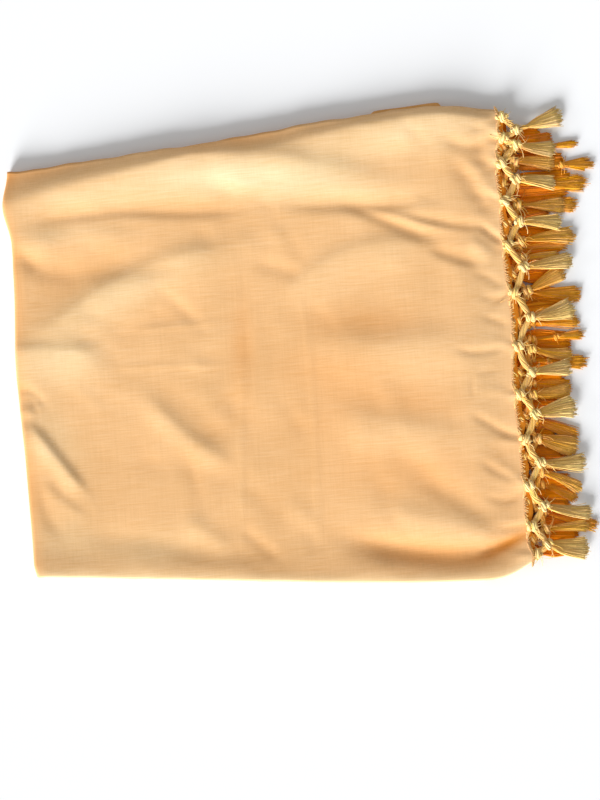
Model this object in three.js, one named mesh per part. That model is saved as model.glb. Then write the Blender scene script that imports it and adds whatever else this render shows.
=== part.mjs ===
// A plain woven cotton shawl, folded flat, with a knotted fringe along one edge.
//
// The cut is one length of cloth, 914 x 2032 mm, with a fringe at each short end. It is folded once
// across its width and then in four along its length, so that eight plies lie on each other.
// Millimetres, +Z up. The origin is at the middle of the bounding box, on the resting plane.
// +X points to the fringe, -Y to the width fold, +Y to the selvages, -X to the outer length fold.
import * as THREE from 'three';

// ---- driving sizes -------------------------------------------------------------------------
const WALL = 1.2; // one ply of cloth
const GAP = 0.3; // air between two pieces at rest
const ROLL = 2.3; // radius of one rolled width fold, which holds two plies
const TUCK = 12; // how far the lower ply of a width fold runs back under the upper one
const FOLD_DEPTH = 10; // how far the outer length fold bulges past the straight part
const INNER_FOLD_X = 155; // where the inner length fold ends, short of the fringed edge

const BULK = 14.6; // height of the stack in the middle
const FRONT_RISE = { height: 3.6, reach: 24 }; // the four stacked rolls are higher than the middle
const LEFT_RISE = { height: 2.8, reach: 42 }; // so are the nested length folds
const RIGHT_FALL = { height: 3.2, from: 150, to: 196 }; // four plies are left past the inner fold
const BACK_FALL = { left: 6.2, right: 2.6, reachLeft: 34, reachRight: 13 }; // slope to the selvages

const TOP_STEPS = 33; // stations from the outer fold to the fringed edge
const UNDER_STEPS = 5;
const BEND_STEPS = 6; // stations round the outer fold
const PLY_STEPS = 29; // points across one ply
const ROLL_STEPS = 4; // facets round one roll

// ---- outline in plan -----------------------------------------------------------------------
const FRONT_EDGE = [
  { x: -292, y: -201 }, { x: -148, y: -215 }, { x: 0, y: -229.5 },
  { x: 93, y: -237 }, { x: 163, y: -240 }, { x: 210, y: -231 },
];
const BACK_EDGE = [
  { x: -292, y: 205 }, { x: -195, y: 211 }, { x: -94, y: 218.5 },
  { x: 9, y: 230 }, { x: 147, y: 239.9 }, { x: 210, y: 229 },
];
const LEFT_EDGE = [
  { y: -205, x: -287 }, { y: -187, x: -290 }, { y: -89, x: -291.5 }, { y: 0, x: -294.6 },
  { y: 99, x: -291 }, { y: 130, x: -290.5 }, { y: 169, x: -297 }, { y: 206, x: -291 },
];
const MEAN_LEFT_X = -291;
const MEAN_RIGHT_X = 202;
const RIGHT_EDGE = [
  { y: -236, x: 204 }, { y: -197, x: 201 }, { y: -100, x: 201.5 }, { y: -55, x: 199.5 },
  { y: 17, x: 204 }, { y: 95, x: 201 }, { y: 142, x: 202 }, { y: 162, x: 201 }, { y: 218, x: 206 },
];

// ---- the largest creases of the top ply: height up (+) or down (-) and half width ------------
const CREASES = [
  { name: 'back crest', from: [-286, 172], to: [-150, 196], height: 2.6, width: 13 },
  { name: 'back crest end', from: [-150, 196], to: [20, 208], height: 1.6, width: 12 },
  { name: 'long valley left', from: [-288, 148], to: [-37, 145], height: -2.4, width: 12 },
  { name: 'long valley right', from: [14, 141], to: [124, 141], height: -1.7, width: 11 },
  { name: 'branch valley', from: [50, 139], to: [142, 101], height: -1.6, width: 11 },
  { name: 'branch end', from: [107, 96], to: [173, 73], height: -1.5, width: 10 },
  { name: 'left ridge', from: [-284, 134], to: [-141, 126], height: 1.8, width: 11 },
  { name: 'left valley', from: [-288, 118], to: [-78, 97], height: -1.9, width: 12 },
  { name: 'left bulge', from: [-290, 58], to: [-232, 55], height: 1.2, width: 16 },
  { name: 'left dent', from: [-290, -16], to: [-272, -39], height: -1.3, width: 14 },
  { name: 'low diagonal ridge', from: [-282, -70], to: [-236, -132], height: 3, width: 12 },
  { name: 'low diagonal valley', from: [-277, -44], to: [-216, -112], height: -2.2, width: 12 },
  { name: 'middle ridge', from: [-179, -34], to: [-86, -99], height: 2.4, width: 12 },
  { name: 'middle valley', from: [-172, -12], to: [-66, -82], height: -2, width: 12 },
  { name: 'pressed fold', from: [-65, 110], to: [-84, -205], height: 0.9, width: 12 },
  { name: 'second pressed fold', from: [-3, 65], to: [-8, -224], height: 0.9, width: 12 },
  { name: 'front trough', from: [40, -197], to: [178, -214], height: -2.8, width: 12 },
  { name: 'front trough left', from: [-266, -178], to: [-186, -186], height: -1.6, width: 12 },
  { name: 'corner ridge', from: [72, -160], to: [171, -196], height: 2, width: 12 },
  { name: 'corner valley', from: [100, -140], to: [170, -180], height: -1.8, width: 11 },
  { name: 'corner dent', from: [160, 179], to: [190, 122], height: -2.2, width: 11 },
];

// ---- fringe: one net of knotted cords for each layer of cloth that ends here ------------------
const KNOT = { wide: 4, high: 1.9, reach: 5.5 };
const CORD = { wide: 2.2, high: 1.5 };
const EDGE_CLEAR = 0.6; // from the cloth's edge to the first row of knots
const NET_DEPTH = 15; // from the first row of knots to the second
const FRINGE_X = { start: 226, end: 292 }; // where the layers start and stop to droop
const HEAD = { wide: 2.6, high: 1.25, length: 4 }; // the bound root of a tassel
const STRAND = { high: 0.62, pitch: 2.6, fill: 0.82, uneven: 0.09 };

// tassels from the selvages to the width fold: where the knot is, a bare cord before the head,
// the length of the loose ends, the turn from +X in degrees and the width at the cut ends
const FRINGE_LAYERS = [
  {
    name: 'upper', height: 10.6, droop: 6.6, tassels: [
      { knot: 208, stem: 12, length: 29, turn: 16, width: 19 },
      { knot: 193, stem: 0, length: 32, turn: -9, width: 17 },
      { knot: 158, stem: 0, length: 32, turn: -10, width: 14 },
      { knot: 115, stem: 0, length: 34, turn: -5, width: 16 },
      { knot: 69, stem: 0, length: 41, turn: 5, width: 17 },
      { knot: 18, stem: 0, length: 37, turn: 11, width: 20 },
      { knot: -37, stem: 0, length: 32, turn: 3, width: 16 },
      { knot: -79, stem: 0, length: 33, turn: 9, width: 22 },
      { knot: -128, stem: 0, length: 37, turn: -3, width: 17 },
      { knot: -171, stem: 0, length: 40, turn: -13, width: 14 },
      { knot: -209, stem: 0, length: 33, turn: -11, width: 23 },
    ],
  },
  {
    name: 'middle', height: 6.7, droop: 4.4, tassels: [
      { knot: 177, stem: 0, length: 32, turn: -6, width: 15 },
      { knot: 132, stem: 10, length: 29, turn: -3, width: 16 },
      { knot: 96, stem: 4, length: 42, turn: 2, width: 17 },
      { knot: 78, stem: 0, length: 30, turn: 2, width: 8 },
      { knot: 45, stem: 4, length: 31, turn: 25, width: 16 },
      { knot: -14, stem: 0, length: 34, turn: -13, width: 13 },
      { knot: -60, stem: 0, length: 30, turn: 4, width: 14 },
      { knot: -104, stem: 0, length: 32, turn: -18, width: 21 },
      { knot: -137, stem: 0, length: 36, turn: -28, width: 12 },
      { knot: -194, stem: 0, length: 36, turn: -1, width: 11 },
    ],
  },
  {
    name: 'lower', height: 2.8, droop: 1.4, tassels: [
      { knot: 189, stem: 36, length: 19, turn: 2, width: 8 },
      { knot: 172, stem: 48, length: 21.8, turn: -2, width: 15 },
      { knot: 155, stem: 25, length: 37, turn: -3, width: 17 },
      { knot: 135, stem: 22, length: 28, turn: -6, width: 17 },
      { knot: 90, stem: 0, length: 38, turn: 3, width: 15 },
      { knot: 44, stem: 9, length: 36, turn: -6, width: 17 },
      { knot: 13, stem: 3, length: 37, turn: -2, width: 13 },
      { knot: -4, stem: 26, length: 19, turn: 2, width: 8 },
      { knot: -25, stem: 18, length: 29, turn: -6, width: 14 },
      { knot: -48, stem: 2, length: 30, turn: -13, width: 18 },
      { knot: -86, stem: 0, length: 36, turn: -26, width: 14 },
      { knot: -150, stem: 0, length: 30, turn: -27, width: 10 },
      { knot: -178, stem: 14, length: 32, turn: -19, width: 13 },
    ],
  },
];

// ---- layered edges of the hidden plies -------------------------------------------------------
// how far each hidden ply's selvage lies behind the top ply's, from the bottom ply up
const SELVAGE_SETBACKS = [3.4, 1.2, 4.2, 2, 3.2, 0.9];
const GROOVE = 1.6; // depth of the grooves between plies
const FOLD_BULGE = { rim: 0.5, groove: 2.4 }; // the two hidden rolls of the width fold
const STACK_SHORT = 0.4; // how far its fringed edge stops behind the top ply's
const STACK_STEPS = 14; // stations of the hidden stack
const STACK_TOP_STEPS = 12; // points across its top
const SAG_WINDOW = 19; // the hidden stack keeps below the lowest of the cloth this near

// ---- helpers -------------------------------------------------------------------------------
const mix = (a, b, t) => a + (b - a) * t;
const clamp01 = (t) => Math.min(1, Math.max(0, t));
const smooth = (t) => clamp01(t) ** 2 * (3 - 2 * clamp01(t));
const steps = (count) => Array.from({ length: count + 1 }, (_, i) => i / count);

// value of a table at a place, eased between its rows
function readTable(table, key, value, at) {
  const last = table.length - 1;
  if (at <= table[0][key]) return table[0][value];
  if (at >= table[last][key]) return table[last][value];
  const next = table.findIndex((row) => row[key] >= at);
  const [a, b] = [table[next - 1], table[next]];
  return mix(a[value], b[value], smooth((at - a[key]) / (b[key] - a[key])));
}

// straight version of readTable, for long plain edges
function readEdge(table, key, value, at) {
  const last = table.length - 1;
  const next = Math.min(last, Math.max(1, table.findIndex((row) => row[key] >= at)));
  const [a, b] = [table[next - 1], table[next]];
  return mix(a[value], b[value], clamp01((at - a[key]) / (b[key] - a[key])));
}

const frontY = (x) => readEdge(FRONT_EDGE, 'x', 'y', Math.min(x, 209.9));
const backY = (x) => readEdge(BACK_EDGE, 'x', 'y', Math.min(x, 209.9));
const leftX = (y) => readTable(LEFT_EDGE, 'y', 'x', y);
const rightX = (y) => readTable(RIGHT_EDGE, 'y', 'x', y);

// one closed body through rings of [x, y, z] with the same number of points; each end is closed by
// triangles and quads, given as places in the ring, in the ring's order
function bodyThroughRings(rings, lidPolygons, name, color) {
  const count = rings[0].length;
  const points = rings.flat();
  const faces = [];
  for (let r = 0; r < rings.length - 1; r += 1) {
    for (let i = 0; i < count; i += 1) {
      const j = (i + 1) % count;
      const [a, b] = [r * count + i, r * count + j];
      faces.push([a, b, b + count], [a, b + count, a + count]);
    }
  }
  const end = (rings.length - 1) * count;
  for (const [p, ...rest] of lidPolygons) {
    for (let i = 0; i < rest.length - 1; i += 1) {
      faces.push([p, rest[i + 1], rest[i]]);
      faces.push([end + p, end + rest[i], end + rest[i + 1]]);
    }
  }
  return bodyFromFaces(points, faces, name, color);
}

// a mesh whose faces point out: they are all turned round where the volume comes out negative
function bodyFromFaces(points, faces, name, color) {
  const volume = faces.reduce((sum, [a, b, c]) => {
    const [p, q, r] = [a, b, c].map((i) => new THREE.Vector3(...points[i]));
    return sum + p.dot(q.cross(r));
  }, 0);
  const turned = volume < 0 ? faces.map(([a, b, c]) => [a, c, b]) : faces;
  const geometry = new THREE.BufferGeometry();
  geometry.setAttribute('position', new THREE.Float32BufferAttribute(points.flat(), 3));
  geometry.setIndex(turned.flat());
  geometry.computeVertexNormals();
  const material = new THREE.MeshStandardMaterial({ color, roughness: 0.95, metalness: 0 });
  const mesh = new THREE.Mesh(geometry, material);
  mesh.name = name;
  return mesh;
}

// ---- height of the top ply -------------------------------------------------------------------
function creaseHeight(x, y, crease) {
  const [dx, dy] = [crease.to[0] - crease.from[0], crease.to[1] - crease.from[1]];
  const length = Math.hypot(dx, dy);
  const along = ((x - crease.from[0]) * dx + (y - crease.from[1]) * dy) / length;
  const off = ((x - crease.from[0]) * dy - (y - crease.from[1]) * dx) / length;
  const past = Math.max(0, -along, along - length);
  return crease.height * Math.exp(-((off / crease.width) ** 2) - (past / (1.4 * crease.width)) ** 2);
}

function topHeight(x, y) {
  const across = clamp01((x + 292) / 494);
  const toFront = y - frontY(x);
  const toLeft = x - leftX(y);
  const reachBack = mix(BACK_FALL.reachLeft, BACK_FALL.reachRight, smooth(across * 1.6));
  const fallBack = mix(BACK_FALL.left, BACK_FALL.right, smooth(across * 1.6));
  const right = smooth((x - RIGHT_FALL.from) / (RIGHT_FALL.to - RIGHT_FALL.from));
  let z = BULK;
  z += FRONT_RISE.height * Math.exp(-((toFront / FRONT_RISE.reach) ** 2));
  z += LEFT_RISE.height * Math.exp(-((toLeft / LEFT_RISE.reach) ** 2));
  z -= RIGHT_FALL.height * right;
  z -= fallBack * smooth(1 - (backY(x) - y) / reachBack);
  const fade = smooth(toFront / 14) * (1 - 0.85 * right);
  return CREASES.reduce((sum, crease) => sum + fade * creaseHeight(x, y, crease), z);
}

// ---- the outer cloth: top ply, outer length fold and under ply as one wall --------------------
// Its section is a ply with a rolled front edge, given as place across and depth into the stack.
function plySection() {
  const outer = steps(PLY_STEPS).map((t) => ({ t, inward: 0, depth: 0 }));
  const inner = steps(PLY_STEPS).map((t) => ({ t, inward: 0, depth: WALL }));
  for (const turn of steps(ROLL_STEPS).slice(1).map((t) => t * Math.PI)) {
    const [sin, cos] = [Math.sin(turn), Math.cos(turn)];
    outer.push({ t: 1, inward: -ROLL * sin, depth: ROLL - ROLL * cos });
    inner.push({ t: 1, inward: -(ROLL - WALL) * sin, depth: ROLL - (ROLL - WALL) * cos });
  }
  outer.push({ t: 1, inward: TUCK, depth: 2 * ROLL });
  inner.push({ t: 1, inward: TUCK, depth: 2 * ROLL - WALL });
  return [...outer, ...inner.reverse()];
}

// a point of the section at a station: x runs between the outer fold's end and the given end
function plan(point, share, endX) {
  const yAt = (x) => mix(backY(x), frontY(x) + ROLL, point.t);
  const startX = leftX(yAt(MEAN_LEFT_X)) + FOLD_DEPTH;
  const x = mix(startX, endX ?? rightX(yAt(MEAN_RIGHT_X)), share);
  return { x, y: yAt(x) + point.inward };
}

// the ends of the wall are closed by a strip between its outer and its inner side
function wallLids(count) {
  const strip = [];
  for (let i = 0; i < count / 2 - 1; i += 1) {
    strip.push([i, i + 1, count - 2 - i, count - 1 - i]);
  }
  return strip;
}

function makeOuterCloth() {
  const section = plySection();
  const rings = [];
  for (const share of steps(UNDER_STEPS).reverse()) {
    rings.push(section.map((point) => {
      const { x, y } = plan(point, share, INNER_FOLD_X);
      return [x, y, point.depth];
    }));
  }
  for (const bend of steps(BEND_STEPS).slice(1, -1).map((t) => t * Math.PI)) {
    rings.push(section.map((point) => {
      const { x, y } = plan(point, 0);
      const half = topHeight(x, y) / 2;
      const out = (FOLD_DEPTH - point.depth) * Math.sin(bend);
      return [x - out, y, half - (half - point.depth) * Math.cos(bend)];
    }));
  }
  for (const share of steps(TOP_STEPS)) {
    rings.push(section.map((point) => {
      const { x, y } = plan(point, share);
      return [x, y, topHeight(x, y) - point.depth];
    }));
  }
  return bodyThroughRings(rings, wallLids(section.length), 'cloth_outer', 0xe2b076);
}

// ---- the hidden plies: one rounded stack, layered where its edges show ------------------------
function lowestCloth(x, y) {
  let low = Infinity;
  for (const dx of [-1, -0.5, 0, 0.5, 1]) {
    for (const dy of [-1, -0.5, 0, 0.5, 1]) {
      low = Math.min(low, topHeight(x + dx * SAG_WINDOW, y + dy * SAG_WINDOW));
    }
  }
  return low;
}

// the ring of the stack, as place across, depth below the cloth (top) or above it (bottom) and
// the share of the height where a point lies on the front or back face
function stackSection() {
  const clear = WALL + GAP;
  const underRoll = 2 * ROLL + GAP;
  const behindTuck = ROLL + TUCK + 3 * GAP;
  const points = [];
  for (const t of steps(STACK_TOP_STEPS)) points.push({ across: t, side: 'top', depth: clear });
  points.push({ front: behindTuck, side: 'top', depth: underRoll });
  for (const [i, share] of steps(8).reverse().entries()) {
    const rim = i % 4 === 2 ? FOLD_BULGE.rim : (i % 2 ? FOLD_BULGE.rim + 0.6 : FOLD_BULGE.groove);
    points.push({ front: rim, side: 'face', share, depth: underRoll });
  }
  points.push({ front: behindTuck, side: 'bottom', depth: underRoll });
  for (const t of steps(STACK_TOP_STEPS).reverse()) {
    points.push({ across: t, side: 'bottom', depth: clear });
  }
  const plies = SELVAGE_SETBACKS.length;
  for (let ply = 0; ply < plies; ply += 1) {
    const back = SELVAGE_SETBACKS[ply];
    points.push({ back, side: 'face', share: (ply + 0.25) / plies, depth: clear });
    points.push({ back, side: 'face', share: (ply + 0.75) / plies, depth: clear });
    if (ply < plies - 1) {
      points.push({ back: back + GROOVE, side: 'face', share: (ply + 1) / plies, depth: clear });
    }
  }
  return points;
}

function makeInnerCloth() {
  const section = stackSection();
  const acrossStart = 5; // behind the top ply's selvage
  const acrossEnd = TUCK + ROLL + 5 * GAP; // and in front of it stops short of the tucked ply
  const yOf = (point, x) => {
    if (point.front !== undefined) return frontY(x) + point.front;
    if (point.back !== undefined) return backY(x) - point.back;
    return mix(backY(x) - acrossStart, frontY(x) + acrossEnd, point.across);
  };
  const ring = (xOf, bend, onFloor) => section.map((point) => {
    const roughX = xOf(0);
    let x = xOf(point.front === undefined ? yOf(point, roughX) : frontY(roughX) + ROLL);
    const y = yOf(point, x);
    const low = lowestCloth(x, y);
    const floor = onFloor ? 0 : point.depth;
    if (bend !== null) {
      const half = topHeight(x, y) / 2;
      const inset = point.depth + 2 * GAP;
      x -= (FOLD_DEPTH - inset) * Math.cos(bend);
      const up = half + (low - half - inset) * Math.sin(bend);
      const down = half - (half - inset) * Math.sin(bend);
      if (point.side === 'top') return [x, y, up];
      if (point.side === 'bottom') return [x, y, down];
      return [x, y, mix(down, up, point.share)];
    }
    if (point.side === 'top') return [x, y, low - point.depth];
    if (point.side === 'bottom') return [x, y, floor];
    return [x, y, mix(floor, low - point.depth, point.share)];
  });
  const straightStart = (y) => leftX(y) + FOLD_DEPTH;
  const rings = [
    ring(straightStart, Math.PI / 6, false),
    ring(straightStart, Math.PI / 3, false),
  ];
  for (const share of steps(STACK_STEPS)) {
    rings.push(ring((y) => mix(straightStart(y), INNER_FOLD_X + GAP, share), null, false));
  }
  const onFloorX = INNER_FOLD_X + 4 * GAP;
  for (const share of [0, 0.35, 0.7, 1]) {
    rings.push(ring((y) => mix(onFloorX, rightX(y) - STACK_SHORT, share), null, true));
  }
  return bodyThroughRings(rings, stackLids(section), 'cloth_inner', 0xd2a065);
}

// the ends of the stack are closed by a strip between the points of its upper and lower half
function stackLids(section) {
  const count = section.length;
  const lowBack = section.findLastIndex((point) => point.side === 'bottom');
  const strip = [];
  for (let i = 0; i < (lowBack - 1) / 2; i += 1) {
    strip.push([i, i + 1, lowBack - 1 - i, lowBack - i]);
  }
  for (let i = 0; i < (count - lowBack - 1) / 2; i += 1) {
    strip.push([lowBack + i, lowBack + 1 + i, count - 1 - i, (count - i) % count]);
  }
  return strip.map((polygon) => [...new Set(polygon)]);
}

// ---- fringe ----------------------------------------------------------------------------------
function fringeHeight(layer, x) {
  const out = clamp01((x - FRINGE_X.start) / (FRINGE_X.end - FRINGE_X.start));
  return layer.height - layer.droop * Math.sin((out * Math.PI) / 2);
}

function knotPlace(tassel) {
  return { x: rightX(tassel.knot) + EDGE_CLEAR + KNOT.wide + NET_DEPTH, y: tassel.knot };
}

// a cord that runs to and fro between the first row of knots, at the cloth, and the second
function makeNet(layer) {
  const second = layer.tassels.map(knotPlace);
  const first = [];
  for (let i = 0; i <= second.length; i += 1) {
    const above = i === 0 ? second[0].y + 28 : second[i - 1].y;
    const below = i === second.length ? second[i - 1].y - 18 : second[i].y;
    const y = (above + below) / 2;
    first.push({ x: rightX(y) + EDGE_CLEAR + KNOT.wide, y });
  }
  const route = [first[0]];
  second.forEach((knot, i) => route.push(knot, first[i + 1]));
  const ringAt = (x, y, dirX, dirY, size) => {
    const z = fringeHeight(layer, x);
    const [nx, ny] = [-dirY, dirX];
    return [[1, 0], [0, 1], [-1, 0], [0, -1]].map(([side, up]) => (
      [x + nx * side * size.wide, y + ny * side * size.wide, z + up * size.high]
    ));
  };
  const rings = [];
  route.forEach((knot, i) => {
    const before = route[i - 1];
    const after = route[i + 1];
    const leg = (other) => {
      const far = Math.hypot(other.x - knot.x, other.y - knot.y);
      return [(other.x - knot.x) / far, (other.y - knot.y) / far];
    };
    if (before) {
      const [dx, dy] = leg(before);
      rings.push(ringAt(knot.x + dx * KNOT.reach, knot.y + dy * KNOT.reach, -dx, -dy, CORD));
    }
    rings.push(ringAt(knot.x, knot.y, 0, -1, KNOT));
    if (after) {
      const [dx, dy] = leg(after);
      rings.push(ringAt(knot.x + dx * KNOT.reach, knot.y + dy * KNOT.reach, dx, dy, CORD));
    }
  });
  return netBody(rings, `fringe_net_${layer.name}`);
}

// the net's ends are closed across the cord, in the plane that stands along X
function netBody(rings, name) {
  const points = rings.flat();
  const faces = [];
  for (let r = 0; r < rings.length - 1; r += 1) {
    for (let i = 0; i < 4; i += 1) {
      const [a, b] = [r * 4 + i, r * 4 + ((i + 1) % 4)];
      faces.push([a, b, b + 4], [a, b + 4, a + 4]);
    }
  }
  const end = (rings.length - 1) * 4;
  faces.push([0, 2, 1], [0, 3, 2], [end, end + 1, end + 2], [end, end + 2, end + 3]);
  return bodyFromFaces(points, faces, name, 0xd8a566);
}

// a tassel: a bound head that parts into a row of four-sided strands, each ending on its own
function makeTassel(layer, tassel, number) {
  const strands = Math.max(3, Math.round(tassel.width / STRAND.pitch));
  const turn = THREE.MathUtils.degToRad(tassel.turn);
  const [dirX, dirY] = [Math.cos(turn), Math.sin(turn)];
  const knot = knotPlace(tassel);
  const startX = knot.x + KNOT.wide + GAP;
  const place = (along, aside, up) => {
    const x = startX + dirX * along - dirY * aside;
    const y = knot.y + dirY * along + dirX * aside;
    return [x, y, fringeHeight(layer, x) + up];
  };
  const points = [];
  const faces = [];
  const quad = (a, b, c, d) => faces.push([a, b, c], [a, c, d]);
  const rows = strands + 1;
  const addHeadRing = (along, wide, high) => {
    for (const up of [high, -high]) {
      for (const t of steps(strands)) points.push(place(along, mix(-wide, wide, t), up));
    }
    return points.length - 2 * rows;
  };
  const headStart = tassel.stem;
  const rings = [addHeadRing(0, tassel.stem ? 1.3 : 1.7, 1)];
  if (tassel.stem) rings.push(addHeadRing(headStart, 1.3, 1));
  rings.push(addHeadRing(headStart + HEAD.length, HEAD.wide, HEAD.high));
  for (let r = 0; r < rings.length - 1; r += 1) {
    const [a, b] = [rings[r], rings[r + 1]];
    for (let i = 0; i < strands; i += 1) {
      quad(a + i, a + i + 1, b + i + 1, b + i);
      quad(a + rows + i + 1, a + rows + i, b + rows + i, b + rows + i + 1);
    }
    quad(a + rows, a, b, b + rows);
    quad(a + strands, a + rows + strands, b + rows + strands, b + strands);
  }
  for (let i = 0; i < strands; i += 1) {
    quad(rings[0] + i + 1, rings[0] + i, rings[0] + rows + i, rings[0] + rows + i + 1);
  }
  const root = rings[rings.length - 1];
  for (let i = 0; i < strands; i += 1) {
    const share = (i + 0.5) / strands - 0.5;
    const uneven = 1 + STRAND.uneven * Math.sin(2.4 * i + 1.7 * number);
    const stations = [
      { along: 0.5, spread: 0.66, fill: STRAND.fill },
      { along: 1, spread: 1, fill: STRAND.fill * 0.8 },
    ];
    let ring = [root + i, root + i + 1, root + rows + i + 1, root + rows + i];
    for (const { along, spread, fill } of stations) {
      const reach = headStart + HEAD.length + along * uneven * (tassel.length - HEAD.length);
      const middle = share * spread * tassel.width;
      const half = (0.5 * fill * spread * tassel.width) / strands;
      const next = points.length;
      points.push(place(reach, middle - half, STRAND.high), place(reach, middle + half, STRAND.high));
      points.push(place(reach, middle + half, -STRAND.high), place(reach, middle - half, -STRAND.high));
      for (let k = 0; k < 4; k += 1) {
        const l = (k + 1) % 4;
        quad(ring[k], ring[l], next + l, next + k);
      }
      ring = [next, next + 1, next + 2, next + 3];
    }
    quad(ring[0], ring[1], ring[2], ring[3]);
  }
  const label = String(number + 1).padStart(2, '0');
  return bodyFromFaces(points, faces, `tassel_${layer.name}_${label}`, 0xe5b971);
}

// ---- the shawl ------------------------------------------------------------------------------
const shawl = new THREE.Group();
shawl.name = 'shawl';
shawl.add(makeOuterCloth(), makeInnerCloth());
for (const layer of FRINGE_LAYERS) {
  const fringe = new THREE.Group();
  fringe.add(makeNet(layer));
  layer.tassels.forEach((tassel, number) => fringe.add(makeTassel(layer, tassel, number)));
  shawl.add(fringe);
}

export default shawl;
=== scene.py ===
"""A folded shawl of plain ochre cotton with a knotted fringe: its looks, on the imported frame.

Lengths are in millimetres until a mesh is made. The frame is the part's own: +X points to the
fringe, -Y to the rolled width fold, +Y to the selvages, and the shawl rests on z = 0.
"""
import math

import bpy
import numpy as np
from mathutils import Matrix, Vector


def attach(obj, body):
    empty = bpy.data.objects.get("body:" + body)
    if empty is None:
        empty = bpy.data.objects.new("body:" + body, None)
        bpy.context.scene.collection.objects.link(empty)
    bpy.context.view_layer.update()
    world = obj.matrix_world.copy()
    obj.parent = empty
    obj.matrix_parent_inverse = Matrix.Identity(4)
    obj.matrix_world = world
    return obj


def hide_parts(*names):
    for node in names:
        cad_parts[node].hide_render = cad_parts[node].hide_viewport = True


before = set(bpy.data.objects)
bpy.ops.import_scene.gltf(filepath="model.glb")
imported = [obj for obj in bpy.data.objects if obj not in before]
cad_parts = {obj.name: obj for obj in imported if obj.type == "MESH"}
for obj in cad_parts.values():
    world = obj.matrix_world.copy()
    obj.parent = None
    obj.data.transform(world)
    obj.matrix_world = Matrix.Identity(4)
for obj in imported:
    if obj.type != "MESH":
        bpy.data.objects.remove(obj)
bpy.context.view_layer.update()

MM = 0.001

# ---- the view: one pixel of the 600 x 800 picture is one millimetre on the cloth ----
PICTURE = {"wide": 600, "high": 800}
PICTURE_TURN = math.radians(4.5)  # how far the shawl is turned in the picture
PICTURE_POINT = {"across": 298, "down": 344, "x": -12.0, "y": 11.5}  # one place in both frames
LIGHT_FROM = (-0.38, 0.92)  # across and down in the picture

# ---- sizes of the folded cloth, as in the frame ----
PLY = 1.1  # thickness of one ply
ROLL = 2.3  # radius of a rolled width fold, which holds two plies
TUCK = 12.0  # how far the lower ply of a roll shows behind it
FOLD_DEPTH = 10.0  # how far the outer length fold bulges past the straight part
FOLD_SQUARE = 0.35  # 1 for a round fold, less for one with flatter faces
INNER_FOLD_X = 155.0  # where the inner length fold ends
CLOTH_X = {"left": -292, "right": 202}  # the ends of the straight part of the cloth
PLY_X = {"left": -291.0, "right": 202.0}  # where the ends of the ply are measured across it
TABLES_END_X = 209.9  # past this the front and back edges keep their last place
BULK = 14.6  # height of the stack in the middle
FRONT_RISE = {"height": 3.6, "reach": 24}
LEFT_RISE = {"height": 2.2, "reach": 36}
RIGHT_FALL = {"height": 2.4, "from": 150, "to": 199}
BACK_FALL = {"left": 6.2, "right": 2.6, "ease": 1.6}

FRONT_EDGE = [(-292, -201), (-148, -215), (0, -229.5), (93, -237), (163, -240),
              (178, -238), (192, -231), (210, -220)]
BACK_EDGE = [(-292, 205), (-195, 211), (-94, 218.5), (9, 230), (147, 239.9), (210, 229)]
LEFT_EDGE = [(-205, -287), (-187, -290), (-89, -291.5), (0, -294.6), (99, -291), (130, -290.5),
             (169, -297), (206, -291)]
RIGHT_EDGE = [(-236, 204), (-197, 201), (-100, 201.5), (-55, 199.5), (17, 204), (95, 201),
              (142, 202), (162, 201), (218, 206)]
KNOT_PULL = {"out": 2.2, "reach": 6.0, "back": 0.2}  # the fringed edge is pulled out at its knots
# reach of the slope down to the selvages, along the back edge
BACK_REACH = [(-292, 37), (-215, 24), (-150, 17), (-105, 10), (-62, 17), (-30, 20), (10, 13),
              (60, 9), (120, 8), (205, 12)]

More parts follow.
